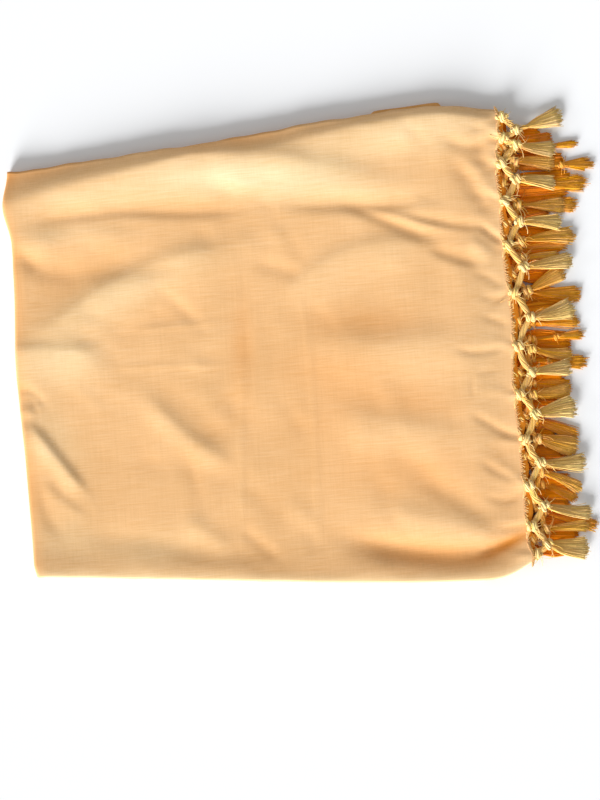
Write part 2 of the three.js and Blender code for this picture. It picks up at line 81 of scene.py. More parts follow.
# ---- creases of the top ply ----
# Each runs through places of the picture, in millimetres from its left and top sides. Its height
# is up (+) or down (-), and it falls off over "left" and "right" of its own direction.
CREASE_COLUMNS = ("name", "height", "left", "right", "through")
CREASES = [
    # the back of the cloth
    ("back crest", 4.2, 15, 32, [(-20, 236), (8, 213), (40, 194), (75, 181), (110, 170), (150, 164),
     (195, 157), (240, 160), (275, 161), (340, 173), (400, 192)]),
    ("back crest end", 2.8, 9, 26, [(240, 160), (290, 146), (340, 134), (390, 124), (440, 117),
     (500, 120), (540, 130)]),
    ("long valley", -1.7, 14, 6, [(8, 234), (40, 227), (80, 221), (125, 217), (170, 218), (215, 217),
     (268, 212)]),
    ("ridge under the long valley", 0.9, 10, 14, [(12, 250), (60, 240), (110, 237), (150, 240)]),
    ("right valley", -2.1, 14, 7, [(270, 212), (305, 211), (345, 211), (390, 210), (440, 204)]),
    ("branch valley", -1.7, 10, 6, [(330, 205), (352, 212), (380, 223), (412, 238), (450, 247)]),
    ("branch ridge", 1.1, 4, 5, [(352, 206), (388, 216), (425, 226), (462, 231)]),
    ("branch valley above", -1.3, 7, 4, [(396, 215), (430, 225), (465, 230), (499, 229)]),
    ("branch end", -1.7, 9, 5, [(424, 250), (450, 261), (484, 270)]),
    # the left side
    ("left valley", -1.6, 16, 11, [(8, 260), (28, 272), (50, 281), (80, 281), (110, 278), (150, 276),
     (200, 273)]),
    ("left valley root", -1.2, 8, 8, [(4, 250), (20, 262), (40, 277)]),
    ("left broad ridge", 2.9, 12, 25, [(10, 352), (30, 342), (66, 322), (100, 297), (140, 275),
     (190, 258), (250, 250)]),
    ("left blob", 2.4, 10, 28, [(-10, 350), (20, 355), (50, 354), (85, 356), (112, 346)]),
    ("centre upper ridge", 1.6, 10, 26, [(270, 300), (300, 284), (340, 259), (390, 246), (440, 252)]),
    ("left broad valley", -0.5, 10, 12, [(100, 378), (122, 346), (160, 325), (202, 317)]),
    # the bold diagonals, low on the left
    ("low diagonal root", -1.6, 7, 6, [(8, 384), (26, 398), (46, 416)]),
    ("low diagonal ridge", 2.6, 5, 12, [(22, 422), (40, 438), (58, 460), (75, 481), (92, 501)]),
    ("low diagonal wrinkle 1", 0.9, 3, 4, [(24, 394), (36, 402), (45, 415)]),
    ("low diagonal wrinkle 2", 0.7, 3, 4, [(17, 404), (28, 411), (36, 421)]),
    ("low second ridge", 0.7, 5, 8, [(42, 482), (62, 502), (90, 522)]),
    ("low left dent", -1.0, 8, 8, [(30, 470), (48, 520), (70, 545)]),
    # the middle
    ("middle ridge", 1.6, 9, 13, [(138, 392), (162, 416), (190, 441), (222, 462), (242, 467)]),
    ("middle valley", -0.4, 10, 10, [(148, 384), (185, 411), (222, 440), (248, 451)]),
    ("middle lower ridge", 1.0, 10, 11, [(182, 517), (210, 537), (238, 555)]),
    ("middle lower valley", -0.8, 7, 7, [(238, 530), (262, 551), (282, 566)]),
    ("middle short ridge", 0.6, 10, 12, [(284, 500), (305, 519), (323, 533)]),
    ("middle short valley", -0.5, 9, 9, [(298, 528), (312, 545), (320, 560)]),
    ("middle dent", -0.45, 9, 9, [(277, 403), (290, 420), (307, 446)]),
    ("middle upper dent", -0.8, 8, 8, [(250, 268), (280, 275), (306, 284)]),
    ("centre first ridge", 2.5, 18, 28, [(296, 330), (330, 342), (380, 350), (430, 344), (470, 340)]),
    ("centre second ridge", 1.8, 17, 28, [(320, 416), (360, 424), (410, 432), (470, 440)]),
    # old pressed folds
    ("pressed fold", 0.25, 3.5, 5, [(232, 240), (237, 290), (240, 330), (243, 366), (242, 450),
     (243, 576)]),
    ("pressed fold shade", -0.6, 12, 8, [(239, 300), (239, 322), (240, 345), (243, 380)]),
    ("second pressed fold", 0.2, 3, 3, [(299, 284), (304, 318), (311, 372), (315, 450), (318, 520),
     (321, 577)]),
    ("second pressed fold shade", -0.35, 10, 8, [(308, 308), (315, 330), (320, 352)]),
    ("cross fold 1", 0.35, 3, 3, [(122, 333), (175, 329), (228, 324)]),
    ("cross fold 2", 0.3, 3, 3, [(98, 372), (150, 369), (240, 367)]),
    # the corner at the selvages and the fringe
    ("corner curve", -1.2, 9, 9, [(446, 163), (466, 182), (480, 203), (496, 226)]),
    ("corner curve ridge", 0.9, 8, 8, [(458, 154), (482, 176), (498, 203)]),
    ("corner mark 1", -1.1, 6, 6, [(440, 141), (466, 150), (496, 148)]),
    ("corner mark 2", -0.8, 4, 4, [(468, 130), (486, 132), (500, 138)]),
    ("corner slash", -2.0, 3.5, 3.5, [(478, 228), (492, 237), (506, 248)]),
    ("corner blob", 1.3, 8, 8, [(466, 240), (480, 248), (494, 262)]),
    # the corner at the width fold and the fringe
    ("front ridge", 1.6, 14, 14, [(360, 505), (400, 516), (440, 524), (480, 533), (510, 541)]),
    ("front valley above", -1.3, 13, 10, [(404, 482), (430, 493), (455, 506), (477, 520), (499, 538)]),
    ("front trough", -4.1, 12, 12, [(330, 545), (375, 553), (420, 560), (462, 562), (498, 553),
     (524, 540)]),
    ("corner groove", -2.6, 4.5, 4.5, [(470, 560), (496, 550), (514, 541), (532, 529)]),
    ("front trough left", -0.7, 12, 12, [(60, 540), (100, 544), (150, 547), (210, 556), (260, 566),
     (320, 574)]),
    # puckers at the knots of the fringe
    ("pucker 1", -1.0, 3.5, 3.5, [(450, 353), (478, 356), (508, 350)]),
    ("pucker 2", -1.0, 4, 3.5, [(468, 417), (494, 431), (518, 445)]),
    ("pucker 3", -0.9, 4, 4, [(476, 463), (500, 477), (522, 483)]),
    ("pucker 4", -0.8, 4, 4, [(480, 499), (505, 504), (524, 497)]),
    ("pucker 5", -0.9, 4, 4, [(478, 300), (494, 302), (510, 297)]),
    ("pucker 6", -0.8, 3.5, 3.5, [(480, 320), (496, 324), (510, 331)]),
    ("pucker 7", -0.7, 4, 4, [(470, 275), (488, 281), (505, 292)]),
    ("pucker 8", -0.5, 2.5, 2.5, [(472, 376), (485, 375), (500, 373)]),
    ("pucker 9", -0.5, 2.5, 2.5, [(473, 378), (471, 390), (472, 402)]),
    ("pucker 10", -0.9, 3, 3, [(486, 194), (496, 201), (505, 204)]),
]
CREASE_STEPS = 5  # points of a crease's curve between two places of the table
CREASE_FADE = 0.3  # share of a crease's run over which each end fades
CREASE_END = 0.12  # share of its height that is left at its very end
TROUGH_SHIFT = 0.25  # a trough's table follows its dark side, which is the one near the light
FRONT_FADE = 12  # creases fade out over the last millimetres before the width fold
# fine crumple of the whole ply: number, size and lie of its small ridges
CRUMPLE = {"count": 240, "length": (12, 36), "width": (7, 15), "height": 0.32, "seed": 7,
           "x": (-300, 210), "y": (-245, 245), "turn": (-0.35, 0.75), "bend": 0.0025}

# Painted light and shade on the top ply: a place in the picture, its reach along and across its
# own direction, that direction in degrees, and how much lighter (+) or deeper (-) it is painted there.
LIGHT_AND_SHADE_COLUMNS = ("at", "reach", "turn", "amount")
LIGHT_AND_SHADE_PATCHES = [
    ((210, 182), (150, 14), 8, 0.1), ((272, 182), (130, 19), -6, 0.21),
    ((118, 300), (60, 18), 26, 0.1), ((490, 330), (26, 170), -4, 0.06),
    ((60, 236), (44, 10), 4, 0.08), ((410, 134), (80, 20), 10, 0.12),
    ((62, 366), (36, 22), 10, 0.14), ((56, 440), (40, 20), -60, 0.12),
    ((62, 540), (34, 24), 0, 0.1), ((150, 550), (60, 20), 0, 0.11),
    ((510, 544), (28, 6), 26, -0.28), ((440, 557), (56, 9), -2, -0.1),
    ((365, 328), (66, 20), -2, -0.12), ((340, 368), (60, 24), 0, -0.12),
    ((328, 424), (50, 24), 0, -0.07), ((395, 404), (66, 20), -6, -0.1),
    ((400, 470), (90, 30), 0, -0.08), ((242, 350), (46, 12), -88, -0.09),
]

FOLD_PAINTED_SHADE = {"amount": 0.12, "reach": 9}  # painted shade along the outer length fold
# painted shade along the back slope down to the selvages
BACK_PAINTED_SHADE = {"amount": 0.12, "reach": 16, "until": 20, "ease": 80}
# painted highlight along the roll of the width fold
FRONT_PAINTED_HIGHLIGHT = {"amount": 0.20, "reach": 7}
RELIEF_LIGHT_AND_SHADE = {"per_mm": 0.036, "most": 3}  # painted light on ridges and painted shade in troughs, per mm of relief
SHADING_CHANNEL_SHARES = (0.18, 1.1, 2.1)  # how much red, green and blue gain where light is painted; painted shade takes as much away, so it is deeper orange

# Each knot at the cloth's edge pulls a few puckers into it.
PUCKERS = {"each": 6, "length": (8, 32), "spread": 0.8, "height": 1.05, "heights": (0.5, 1.2),
           "width": 3.0, "stray": 2, "start": (6, 8), "seed": 21}

# ---- fringe, as in the frame ----
EDGE_CLEAR = 0.6  # between the cloth's edge and its knots
FLOOR_CLEAR = 0.05
KNOT_REACH = 4.0  # half the length of a knot
OUTER_KNOTS = {"back": 14, "front": -9}  # the first and last knot, past the outer tassels
NET_DEPTH = 9.6  # between the two rows of knots
TASSEL_EXTRA = 5.4  # the brushes start that much nearer to the cloth than the solids do
FRINGE_X = {"start": 226, "end": 292}
TASSEL_COLUMNS = ("knot", "stem", "length", "turn", "width")
FRINGE_LAYERS = [
    {"name": "upper", "height": 10.6, "droop": 6.6, "tassels": [
        (208, 12, 29, 16, 19), (193, 0, 32, -9, 17), (158, 0, 32, -10, 14), (115, 0, 34, -5, 16),
        (69, 0, 41, 5, 17), (18, 0, 37, 11, 20), (-37, 0, 32, 3, 16), (-79, 0, 33, 9, 22),
        (-128, 0, 37, -3, 17), (-171, 0, 40, -13, 14), (-209, 0, 33, -11, 23)]},
    {"name": "middle", "height": 6.7, "droop": 4.4, "tassels": [
        (177, 0, 32, -6, 15), (132, 10, 29, -3, 16), (96, 4, 42, 2, 17), (78, 0, 30, 2, 8),
        (45, 4, 31, 25, 16), (-14, 0, 34, -13, 13), (-60, 0, 30, 4, 14), (-104, 0, 32, -18, 21),
        (-137, 0, 36, -28, 12), (-194, 0, 36, -1, 11)]},
    {"name": "lower", "height": 2.8, "droop": 1.4, "tassels": [
        (189, 36, 19, 2, 8), (172, 48, 21.8, -2, 15), (155, 25, 37, -3, 17), (135, 22, 28, -6, 17),
        (90, 0, 38, 3, 15), (44, 9, 36, -6, 17), (13, 3, 37, -2, 13), (-4, 26, 19, 2, 8),
        (-25, 18, 29, -6, 14), (-48, 2, 30, -13, 18), (-86, 0, 36, -26, 14),
        (-150, 0, 30, -27, 10), (-178, 14, 32, -19, 13)]},
]

# ---- colours (linear) ----
CLOTH_COLOUR = (0.86, 0.525, 0.255)
CLOTH_SLUB_DARK = (0.81, 0.475, 0.21)
CLOTH_SLUB_LIGHT = (0.90, 0.575, 0.30)
# the hidden plies: the cloth's colour painted deeper and more orange, as painted shade
HIDDEN_SHADED_COLOUR = (0.84, 0.44, 0.15)
HIDDEN_SLUBS = (0.85, 1.1)  # shares of it in their dark and light parts
THREAD_COLOURS_AND_SHADE = {  # root and tip of the threads, for each layer of fringe, with painted shade: deeper orange at the roots and in lower layers
    "upper": ((0.98, 0.50, 0.10), (0.98, 0.68, 0.27)),
    "middle": ((0.98, 0.38, 0.03), (0.98, 0.54, 0.13)),
    "lower": ((0.98, 0.30, 0.008), (0.98, 0.44, 0.05)),
    "under": ((0.97, 0.20, 0.003), (0.96, 0.32, 0.008)),
}


# ---- small helpers ----
def mix(a, b, t):
    return a + (b - a) * t


def named(columns, rows):
    return [dict(zip(columns, row)) for row in rows]


def waves(at, *rows):
    """A sum of sine waves, each with its height, its pitch over two pi and where it starts."""
    return sum(height * np.sin(at / pitch + start) for height, pitch, start in rows)


def joined(*columns):
    """Columns such as x, y and z as one array of rows."""
    return np.stack(columns, -1)


def falloff(distance, reach):
    return np.exp(-(distance / reach) ** 2)


def unit(vectors):
    return vectors / np.maximum(np.linalg.norm(vectors, axis=-1, keepdims=True), 1e-9)


def seen_along(x, y, cx, cy, turn):
    """How far places lie along and beside a direction through one place."""
    cos, sin = math.cos(turn), math.sin(turn)
    return (x - cx) * cos + (y - cy) * sin, (y - cy) * cos - (x - cx) * sin


def smooth(t):
    t = np.clip(t, 0.0, 1.0)
    return t * t * (3 - 2 * t)


def straight(rows, at):
    """Value of a table at a place, straight between its rows."""
    keys, values = zip(*rows)
    return np.interp(at, keys, values)


def eased(rows, at):
    """Value of a table at a place, eased between its rows."""
    keys, values = (np.array(column, float) for column in zip(*rows))
    at = np.clip(at, keys[0], keys[-1])
    row = np.clip(np.searchsorted(keys, at) - 1, 0, len(keys) - 2)
    share = smooth((at - keys[row]) / (keys[row + 1] - keys[row]))
    return mix(values[row], values[row + 1], share)


def rounded(rows, at, reach=14.0):
    """Straight table with its corners rounded."""
    return sum(straight(rows, at + reach * k) for k in (-1, -0.5, 0, 0.5, 1)) / 5


def turned(across, down):
    """A step in the picture as a step in the part's frame."""
    cos, sin = math.cos(PICTURE_TURN), math.sin(PICTURE_TURN)
    return across * cos - down * sin, -across * sin - down * cos


def place(across, down):
    """A place in the picture as x and y in the part's frame."""
    x, y = turned(across - PICTURE_POINT["across"], down - PICTURE_POINT["down"])
    return x + PICTURE_POINT["x"], y + PICTURE_POINT["y"]


def curve_through(points):
    """Points along a Catmull-Rom curve through the given ones."""
    points = np.array(points, float)
    ends = np.vstack([2 * points[0] - points[1], points, 2 * points[-1] - points[-2]])
    out = []
    for a, b, c, d in zip(ends, ends[1:], ends[2:], ends[3:]):
        for t in np.linspace(0, 1, CREASE_STEPS, endpoint=False):
            out.append(0.5 * ((2 * b) + (c - a) * t + (2 * a - 5 * b + 4 * c - d) * t * t
                              + (3 * b - a - 3 * c + d) * t ** 3))
    out.append(points[-1])
    return np.array(out)


# ---- the form of the cloth ----
def front_y(x):
    return rounded(FRONT_EDGE, np.minimum(x, TABLES_END_X))


def back_y(x):
    return rounded(BACK_EDGE, np.minimum(x, TABLES_END_X))


def left_x(y):
    return eased(LEFT_EDGE, y)


def first_knots(layer):
    """Places of the knots at the cloth's edge, halfway between those of the tassels."""
    knots = [row[0] for row in layer["tassels"]]
    ys = [(a + b) / 2 for a, b in zip(knots, knots[1:])]
    ys = [knots[0] + OUTER_KNOTS["back"], *ys, knots[-1] + OUTER_KNOTS["front"]]
    return [(float(eased(RIGHT_EDGE, y)) + EDGE_CLEAR + KNOT_REACH, y) for y in ys]


EDGE_KNOT_YS = [y for _, y in first_knots(FRINGE_LAYERS[0])]


def right_x(y):
    """The fringed edge, pulled out a little at each knot."""
    pull = sum(falloff(y - knot, KNOT_PULL["reach"]) for knot in EDGE_KNOT_YS)
    return eased(RIGHT_EDGE, y) - KNOT_PULL["back"] + KNOT_PULL["out"] * pull


def ridge(x, y, path, height, left, right):
    """Height of one crease: it falls off to both sides and fades towards its ends."""
    best = np.full(x.shape, 1e9)
    side = np.zeros(x.shape)
    share = np.zeros(x.shape)
    steps = np.hypot(*np.diff(path, axis=0).T)
    run = np.concatenate([[0], np.cumsum(steps)])
    for (ax, ay), (bx, by), start, step in zip(path, path[1:], run, steps):
        along = np.clip(((x - ax) * (bx - ax) + (y - ay) * (by - ay)) / step ** 2, 0, 1)
        dx, dy = x - mix(ax, bx, along), y - mix(ay, by, along)
        far = np.hypot(dx, dy)
        nearer = far < best
        best = np.where(nearer, far, best)
        side = np.where(nearer, (bx - ax) * dy - (by - ay) * dx, side)
        share = np.where(nearer, (start + along * step) / run[-1], share)
    width = np.where(side > 0, left, right)
    ends = smooth(share / CREASE_FADE) * smooth((1 - share) / CREASE_FADE)
    return height * falloff(best, width) * mix(CREASE_END, 1.0, ends)


def crumple(x, y):
    """Many small soft ridges and troughs, as worn cotton has."""
    rng = np.random.default_rng(CRUMPLE["seed"])
    total = np.zeros(x.shape)
    for _ in range(CRUMPLE["count"]):
        cx, cy = rng.uniform(*CRUMPLE["x"]), rng.uniform(*CRUMPLE["y"])
        turn = rng.normal(*CRUMPLE["turn"])
        length, width = rng.uniform(*CRUMPLE["length"]), rng.uniform(*CRUMPLE["width"])
        height = CRUMPLE["height"] * rng.normal(0, 1)
        along, off = seen_along(x, y, cx, cy, turn)
        bend = off - CRUMPLE["bend"] * rng.normal() * along ** 2
        total += height * np.exp(-(along / length) ** 2 - (bend / width) ** 2)
    return total


def painted_light_and_shade(x, y):
    """Painted light and shade on the top ply, as a factor on red, green and blue."""
    total = np.zeros(x.shape)
    for row in named(LIGHT_AND_SHADE_COLUMNS, LIGHT_AND_SHADE_PATCHES):
        turn = math.radians(row["turn"]) - PICTURE_TURN
        along, off = seen_along(x, y, *place(*row["at"]), turn)
        total += row["amount"] * falloff(along, row["reach"][0]) * falloff(off, row["reach"][1])
    # painted shade along the outer length fold and the back slope, painted highlight along the width
    # fold
    at_fold = falloff(np.clip(x - left_x(y), 0, None), FOLD_PAINTED_SHADE["reach"])
    total -= FOLD_PAINTED_SHADE["amount"] * at_fold
    at_back = falloff(np.clip(back_y(x) - y, 0, None), BACK_PAINTED_SHADE["reach"])
    total -= BACK_PAINTED_SHADE["amount"] * at_back * smooth((BACK_PAINTED_SHADE["until"] - x) / BACK_PAINTED_SHADE["ease"])
    total += FRONT_PAINTED_HIGHLIGHT["amount"] * falloff(y - front_y(x), FRONT_PAINTED_HIGHLIGHT["reach"])
    # painted light on ridges and painted shade in troughs
    relief = np.clip(top_height(x, y) - base_height(x, y), -RELIEF_LIGHT_AND_SHADE["most"], RELIEF_LIGHT_AND_SHADE["most"])
    return 1 + (total + relief * RELIEF_LIGHT_AND_SHADE["per_mm"])[..., None] * np.array(SHADING_CHANNEL_SHARES)


def puckers(x, y):
    """Short ridges and troughs that run into the cloth from the knots at its edge."""
    rng = np.random.default_rng(PUCKERS["seed"])
    total = np.zeros(x.shape)
    for knot in EDGE_KNOT_YS:
        root = float(right_x(knot))
        for number in range(PUCKERS["each"]):
            turn = math.pi + rng.uniform(-1, 1) * PUCKERS["spread"]
            length = rng.uniform(*PUCKERS["length"])
            height = PUCKERS["height"] * rng.uniform(*PUCKERS["heights"]) * (-1) ** number
            along, off = seen_along(x, y, root, knot, turn)
            far = np.clip(along, 0, None)
            width = PUCKERS["width"] * (1 + far / length)
            before, ease = PUCKERS["start"]
            fade = smooth((along + before) / ease) * falloff(far, length)
            total += height * fade * falloff(off + rng.normal(0, PUCKERS["stray"]), width)
    return total


def base_height(x, y):
    """The top of the stack without its creases."""
    across = np.clip((x - CLOTH_X["left"]) / (CLOTH_X["right"] - CLOTH_X["left"]), 0, 1)
    right = smooth((x - RIGHT_FALL["from"]) / (RIGHT_FALL["to"] - RIGHT_FALL["from"]))
    fall = mix(BACK_FALL["left"], BACK_FALL["right"], smooth(across * BACK_FALL["ease"]))
    z = BULK + FRONT_RISE["height"] * falloff(y - front_y(x), FRONT_RISE["reach"])
    z = z + LEFT_RISE["height"] * falloff(x - left_x(y), LEFT_RISE["reach"])
    z = z - RIGHT_FALL["height"] * right
    return z - fall * smooth(1 - (back_y(x) - y) / straight(BACK_REACH, x))


def top_height(x, y):
    """The top of the stack with its creases."""
    x, y = np.asarray(x, float), np.asarray(y, float)
    relief = crumple(x, y) + puckers(x, y)
    for crease in named(CREASE_COLUMNS, CREASES):
        path = curve_through([place(*point) for point in crease["through"]])
        left, right = crease["left"], crease["right"]
        if crease["height"] < 0:
            path = path - np.array(turned(*LIGHT_FROM)) * TROUGH_SHIFT * (left + right)
        relief = relief + ridge(x, y, path, crease["height"], left, right)
    return base_height(x, y) + relief * smooth((y - front_y(x)) / FRONT_FADE)


# ---- meshes ----
NEARLY_UP = (0.05, 0.03, 1.0)  # a way that no thread takes


def linked(name, data):
    """A new object in the scene."""
    holder = bpy.data.objects.new(name, data)
    bpy.context.scene.collection.objects.link(holder)
    return holder


def add_object(name, points, faces, material, tints=None):
    """A smooth mesh object from points in millimetres."""
    mesh = bpy.data.meshes.new(name)
    mesh.from_pydata((np.asarray(points).reshape(-1, 3) * MM).tolist(), [], faces)
    mesh.polygons.foreach_set("use_smooth", [True] * len(mesh.polygons))
    if tints is not None:
        colours = mesh.color_attributes.new("tint", "FLOAT_COLOR", "POINT")
        flat = np.ones((len(mesh.vertices), 4))
        flat[:, :3] = np.asarray(tints).reshape(-1, 3)
        colours.data.foreach_set("color", flat.ravel())
    mesh.materials.append(material)
    mesh.validate()
    mesh.update()
    piece = linked(name, mesh)
    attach(piece, "root")
    return piece


def add_closed(name, outer, inner, material, tints=None):
    """A closed mesh between two grids of points. The outer one faces rows x columns."""
    count = outer.shape[0] * outer.shape[1]
    first = np.arange(count).reshape(outer.shape[:2])
    quads = joined(first[:-1, :-1], first[1:, :-1], first[1:, 1:], first[:-1, 1:])
    quads = quads.reshape(-1, 4)
    loop = np.concatenate([first[0, :-1], first[:-1, -1], first[-1, :0:-1], first[:0:-1, 0]])
    turn = np.roll(loop, -1)
    rim = joined(loop, turn, turn + count, loop + count)
    faces = np.concatenate([quads, quads[:, [0, 3, 2, 1]] + count, rim])
    if tints is not None:
        tints = np.concatenate([tints.reshape(-1, 3)] * 2)
    points = np.concatenate([outer.reshape(-1, 3), inner.reshape(-1, 3)])
    return add_object(name, points, faces.tolist(), material, tints)


def add_shell(name, grid, thickness, material, tints=None):
    """A closed thin shell, whose outer face is a grid of points."""
    normals = unit(np.cross(np.gradient(grid, axis=0), np.gradient(grid, axis=1)))
    return add_closed(name, grid, grid - normals * thickness, material, tints)


def sides_of(paths):
    """Directions beside and above paths of points."""
    tangents = unit(np.gradient(paths, axis=-2))
    aside = unit(np.cross(tangents, NEARLY_UP))
    return aside, np.cross(aside, tangents)


def tubes(paths, radii, sides, tints, flat=1.0):
    """Points, faces and tints of many closed tubes along paths of equal point count.

    A tube is round, or as high as the given share of its width.
    """
    count, steps = paths.shape[:2]
    aside, above = sides_of(paths)
    angles = np.arange(sides) * 2 * math.pi / sides
    high = np.broadcast_to(flat, (count, steps))[:, :, None, None] * above[:, :, None]
    ring = np.cos(angles)[:, None] * aside[:, :, None] + np.sin(angles)[:, None] * high
    points = paths[:, :, None] + ring * np.broadcast_to(radii, (count, steps))[:, :, None, None]
    index = np.arange(count * steps * sides).reshape(count, steps, sides)
    nxt = np.roll(index, -1, axis=2)
    quads = joined(index[:, :-1], index[:, 1:], nxt[:, 1:], nxt[:, :-1]).reshape(-1, 4)
    faces = quads.tolist() + index[:, 0].tolist() + index[:, -1, ::-1].tolist()
    shades = np.broadcast_to(tints[:, :, None], (count, steps, sides, 3)).reshape(-1, 3)
    return points.reshape(-1, 3), faces, shades


class Bundle:
    """Collects tubes for one mesh object."""

    def __init__(self):
        self.points, self.faces, self.tints, self.used = [], [], [], 0

    def add(self, paths, radii, sides, tints, flat=1.0):
        points, faces, shades = tubes(paths, radii, sides, tints, flat)
        points[:, 2] = np.maximum(points[:, 2], FLOOR_CLEAR)
        self.faces += [[i + self.used for i in face] for face in faces]
        self.points.append(points)
        self.tints.append(shades)
        self.used += len(points)

    def make(self, name, material):
        return add_object(name, np.concatenate(self.points), self.faces, material,
                          np.concatenate(self.tints))


# ---- materials: noise is given by features per mm, bumps by height in mm and strength ----
SPECULAR = 0.12
SHEEN = {"cloth": 0.12, "threads": 0.0, "roughness": 0.5, "tint": (1.0, 0.86, 0.66, 1.0)}
ROUGHNESS = {"cloth": 0.93, "threads": 0.9}
WEAVE = {"warp": 1.05, "weft": 0.95}  # mm from thread to thread, drawn coarse enough to be seen
NOISES = {"slubs": (0.035, 0.9, 0.9), "cross": (0.9, 0.03, 0.5), "clouds": (0.012, 0.012, 0.02),
          "fuzz": (1.4, 1.4, 1.4), "lint": (1.1, 1.1, 1.1), "fibres": (0.8, 3.0, 3.0)}
SLUB_STOPS = (0.30, 0.52, 0.78)  # where the dark, middle and light colours of the slubs are
CROSS_SHARE = 0.8
WEFT_STOPS = [(0.30, (0.93, 0.92, 0.90)), (0.62, (1.0, 1.0, 1.0))]
CLOUD_STOPS = [(0.32, (0.95, 0.94, 0.92)), (0.68, (1.03, 1.03, 1.04))]
LINT_STOPS = [(0.3, (0.86, 0.84, 0.80)), (0.7, (1.05, 1.05, 1.06))]
BUMPS = {"weave": (0.25, 0.11), "slubs": (0.35, 0.35), "fuzz": (0.2, 0.25), "fibres": (0.15, 0.4)}


def set_inputs(node, values):
    for name, value in values.items():
        node.inputs[name].default_value = value


def new_material(name, values):
    material = bpy.data.materials.new(name)
    material.use_nodes = True
    set_inputs(material.node_tree.nodes["Principled BSDF"], values)
    return material


class Nodes:
    """Short names for building a material's nodes."""

    def __init__(self, name, roughness, sheen):
        self.material = new_material(name, {
            "Roughness": roughness, "Specular IOR Level": SPECULAR, "Sheen Weight": sheen,
            "Sheen Roughness": SHEEN["roughness"], "Sheen Tint": SHEEN["tint"]})
        self.tree = self.material.node_tree
        self.shader = self.tree.nodes["Principled BSDF"]
        self.coords = self.add("ShaderNodeTexCoord").outputs["Object"]

    def add(self, kind, **settings):
        node = self.tree.nodes.new(kind)
        for key, value in settings.items():
            setattr(node, key, value)
        return node

    def link(self, start, end):
        self.tree.links.new(start, end)

    def noise(self, kind, detail=3.0):
        mapping = self.add("ShaderNodeMapping")
        set_inputs(mapping, {"Scale": [value / MM for value in NOISES[kind]]})
        self.link(self.coords, mapping.inputs["Vector"])
        noise = self.add("ShaderNodeTexNoise")
        set_inputs(noise, {"Scale": 1.0, "Detail": detail, "Roughness": 0.6})
        self.link(mapping.outputs["Vector"], noise.inputs["Vector"])
        return noise.outputs["Fac"]

    def wave(self, direction, pitch):
        """Bands at a pitch in millimetres."""
        wave = self.add("ShaderNodeTexWave", bands_direction=direction)
        scale = math.pi / 10 / (pitch * MM)  # at scale 1 a band is pi / 10 wide
        set_inputs(wave, {"Scale": scale, "Distortion": 0.6, "Detail": 1.0})
        self.link(self.coords, wave.inputs["Vector"])
        return wave.outputs["Fac"]

    def ramp(self, fac, stops):
        ramp = self.add("ShaderNodeValToRGB")
        elements = ramp.color_ramp.elements
        while len(elements) < len(stops):
            elements.new(0.5)
        for element, (at, colour) in zip(elements, stops):
            element.position = at
            element.color = (*colour, 1.0)
        self.link(fac, ramp.inputs["Fac"])
        return ramp.outputs["Color"]

    def multiplied(self, a, b, share=1.0):
        node = self.add("ShaderNodeMix", data_type="RGBA", blend_type="MULTIPLY")
        set_inputs(node, {"Factor": share})
        self.link(a, node.inputs["A"])
        self.link(b, node.inputs["B"])
        return node.outputs["Result"]

    def product(self, a, b):
        node = self.add("ShaderNodeMath", operation="MULTIPLY")
        self.link(a, node.inputs[0])
        self.link(b, node.inputs[1])
        return node.outputs["Value"]

    def bump(self, height, kind, below=None):
        distance, strength = BUMPS[kind]
        node = self.add("ShaderNodeBump")
        set_inputs(node, {"Distance": distance * MM, "Strength": strength})
        self.link(height, node.inputs["Height"])
        if below is not None:
            self.link(below, node.inputs["Normal"])
        return node.outputs["Normal"]


def cloth_material(name, dark, middle, light, with_painted_light):
    """Plain weave with slubs along X, faint cross slubs, cloudy tone and, if asked, painted light and
    shade from the tint attribute.
    """
    nodes = Nodes(name, ROUGHNESS["cloth"], SHEEN["cloth"])
    slubs = nodes.noise("slubs", detail=4.0)
    cross = nodes.noise("cross")
    clouds = nodes.noise("clouds", detail=2.0)
    threads = nodes.ramp(slubs, list(zip(SLUB_STOPS, (dark, middle, light))))
    wefts = nodes.ramp(cross, WEFT_STOPS)
    shade = nodes.ramp(clouds, CLOUD_STOPS)
    colour = nodes.multiplied(threads, wefts, CROSS_SHARE)
    colour = nodes.multiplied(colour, shade)
    if with_painted_light:
        # the tint attribute holds painted light and shade
        tint = nodes.add("ShaderNodeVertexColor", layer_name="tint").outputs["Color"]
        colour = nodes.multiplied(colour, tint)
    nodes.link(colour, nodes.shader.inputs["Base Color"])
    weave = nodes.product(nodes.wave("X", WEAVE["warp"]), nodes.wave("Y", WEAVE["weft"]))
    normal = nodes.bump(weave, "weave")
    normal = nodes.bump(slubs, "slubs", normal)
    normal = nodes.bump(nodes.noise("fuzz", detail=2.0), "fuzz", normal)
    nodes.link(normal, nodes.shader.inputs["Normal"])
    return nodes.material


def thread_material(name):
    """Loose cotton threads, coloured by the tint that each thread carries, which holds painted shade
    too.
    """
    nodes = Nodes(name, ROUGHNESS["threads"], SHEEN["threads"])
    tint = nodes.add("ShaderNodeVertexColor", layer_name="tint").outputs["Color"]
    lint = nodes.ramp(nodes.noise("lint"), LINT_STOPS)
    nodes.link(nodes.multiplied(tint, lint), nodes.shader.inputs["Base Color"])
    nodes.link(nodes.bump(nodes.noise("fibres"), "fibres"), nodes.shader.inputs["Normal"])
    return nodes.material


# ---- the ply that shows: top, width fold, outer length fold and underside ----
TOP_STATIONS = 186
BEND_STATIONS = 16
UNDER_STATIONS = 34
PLY_POINTS = 158
ROLL_POINTS = 9
TUCK_POINTS = 3


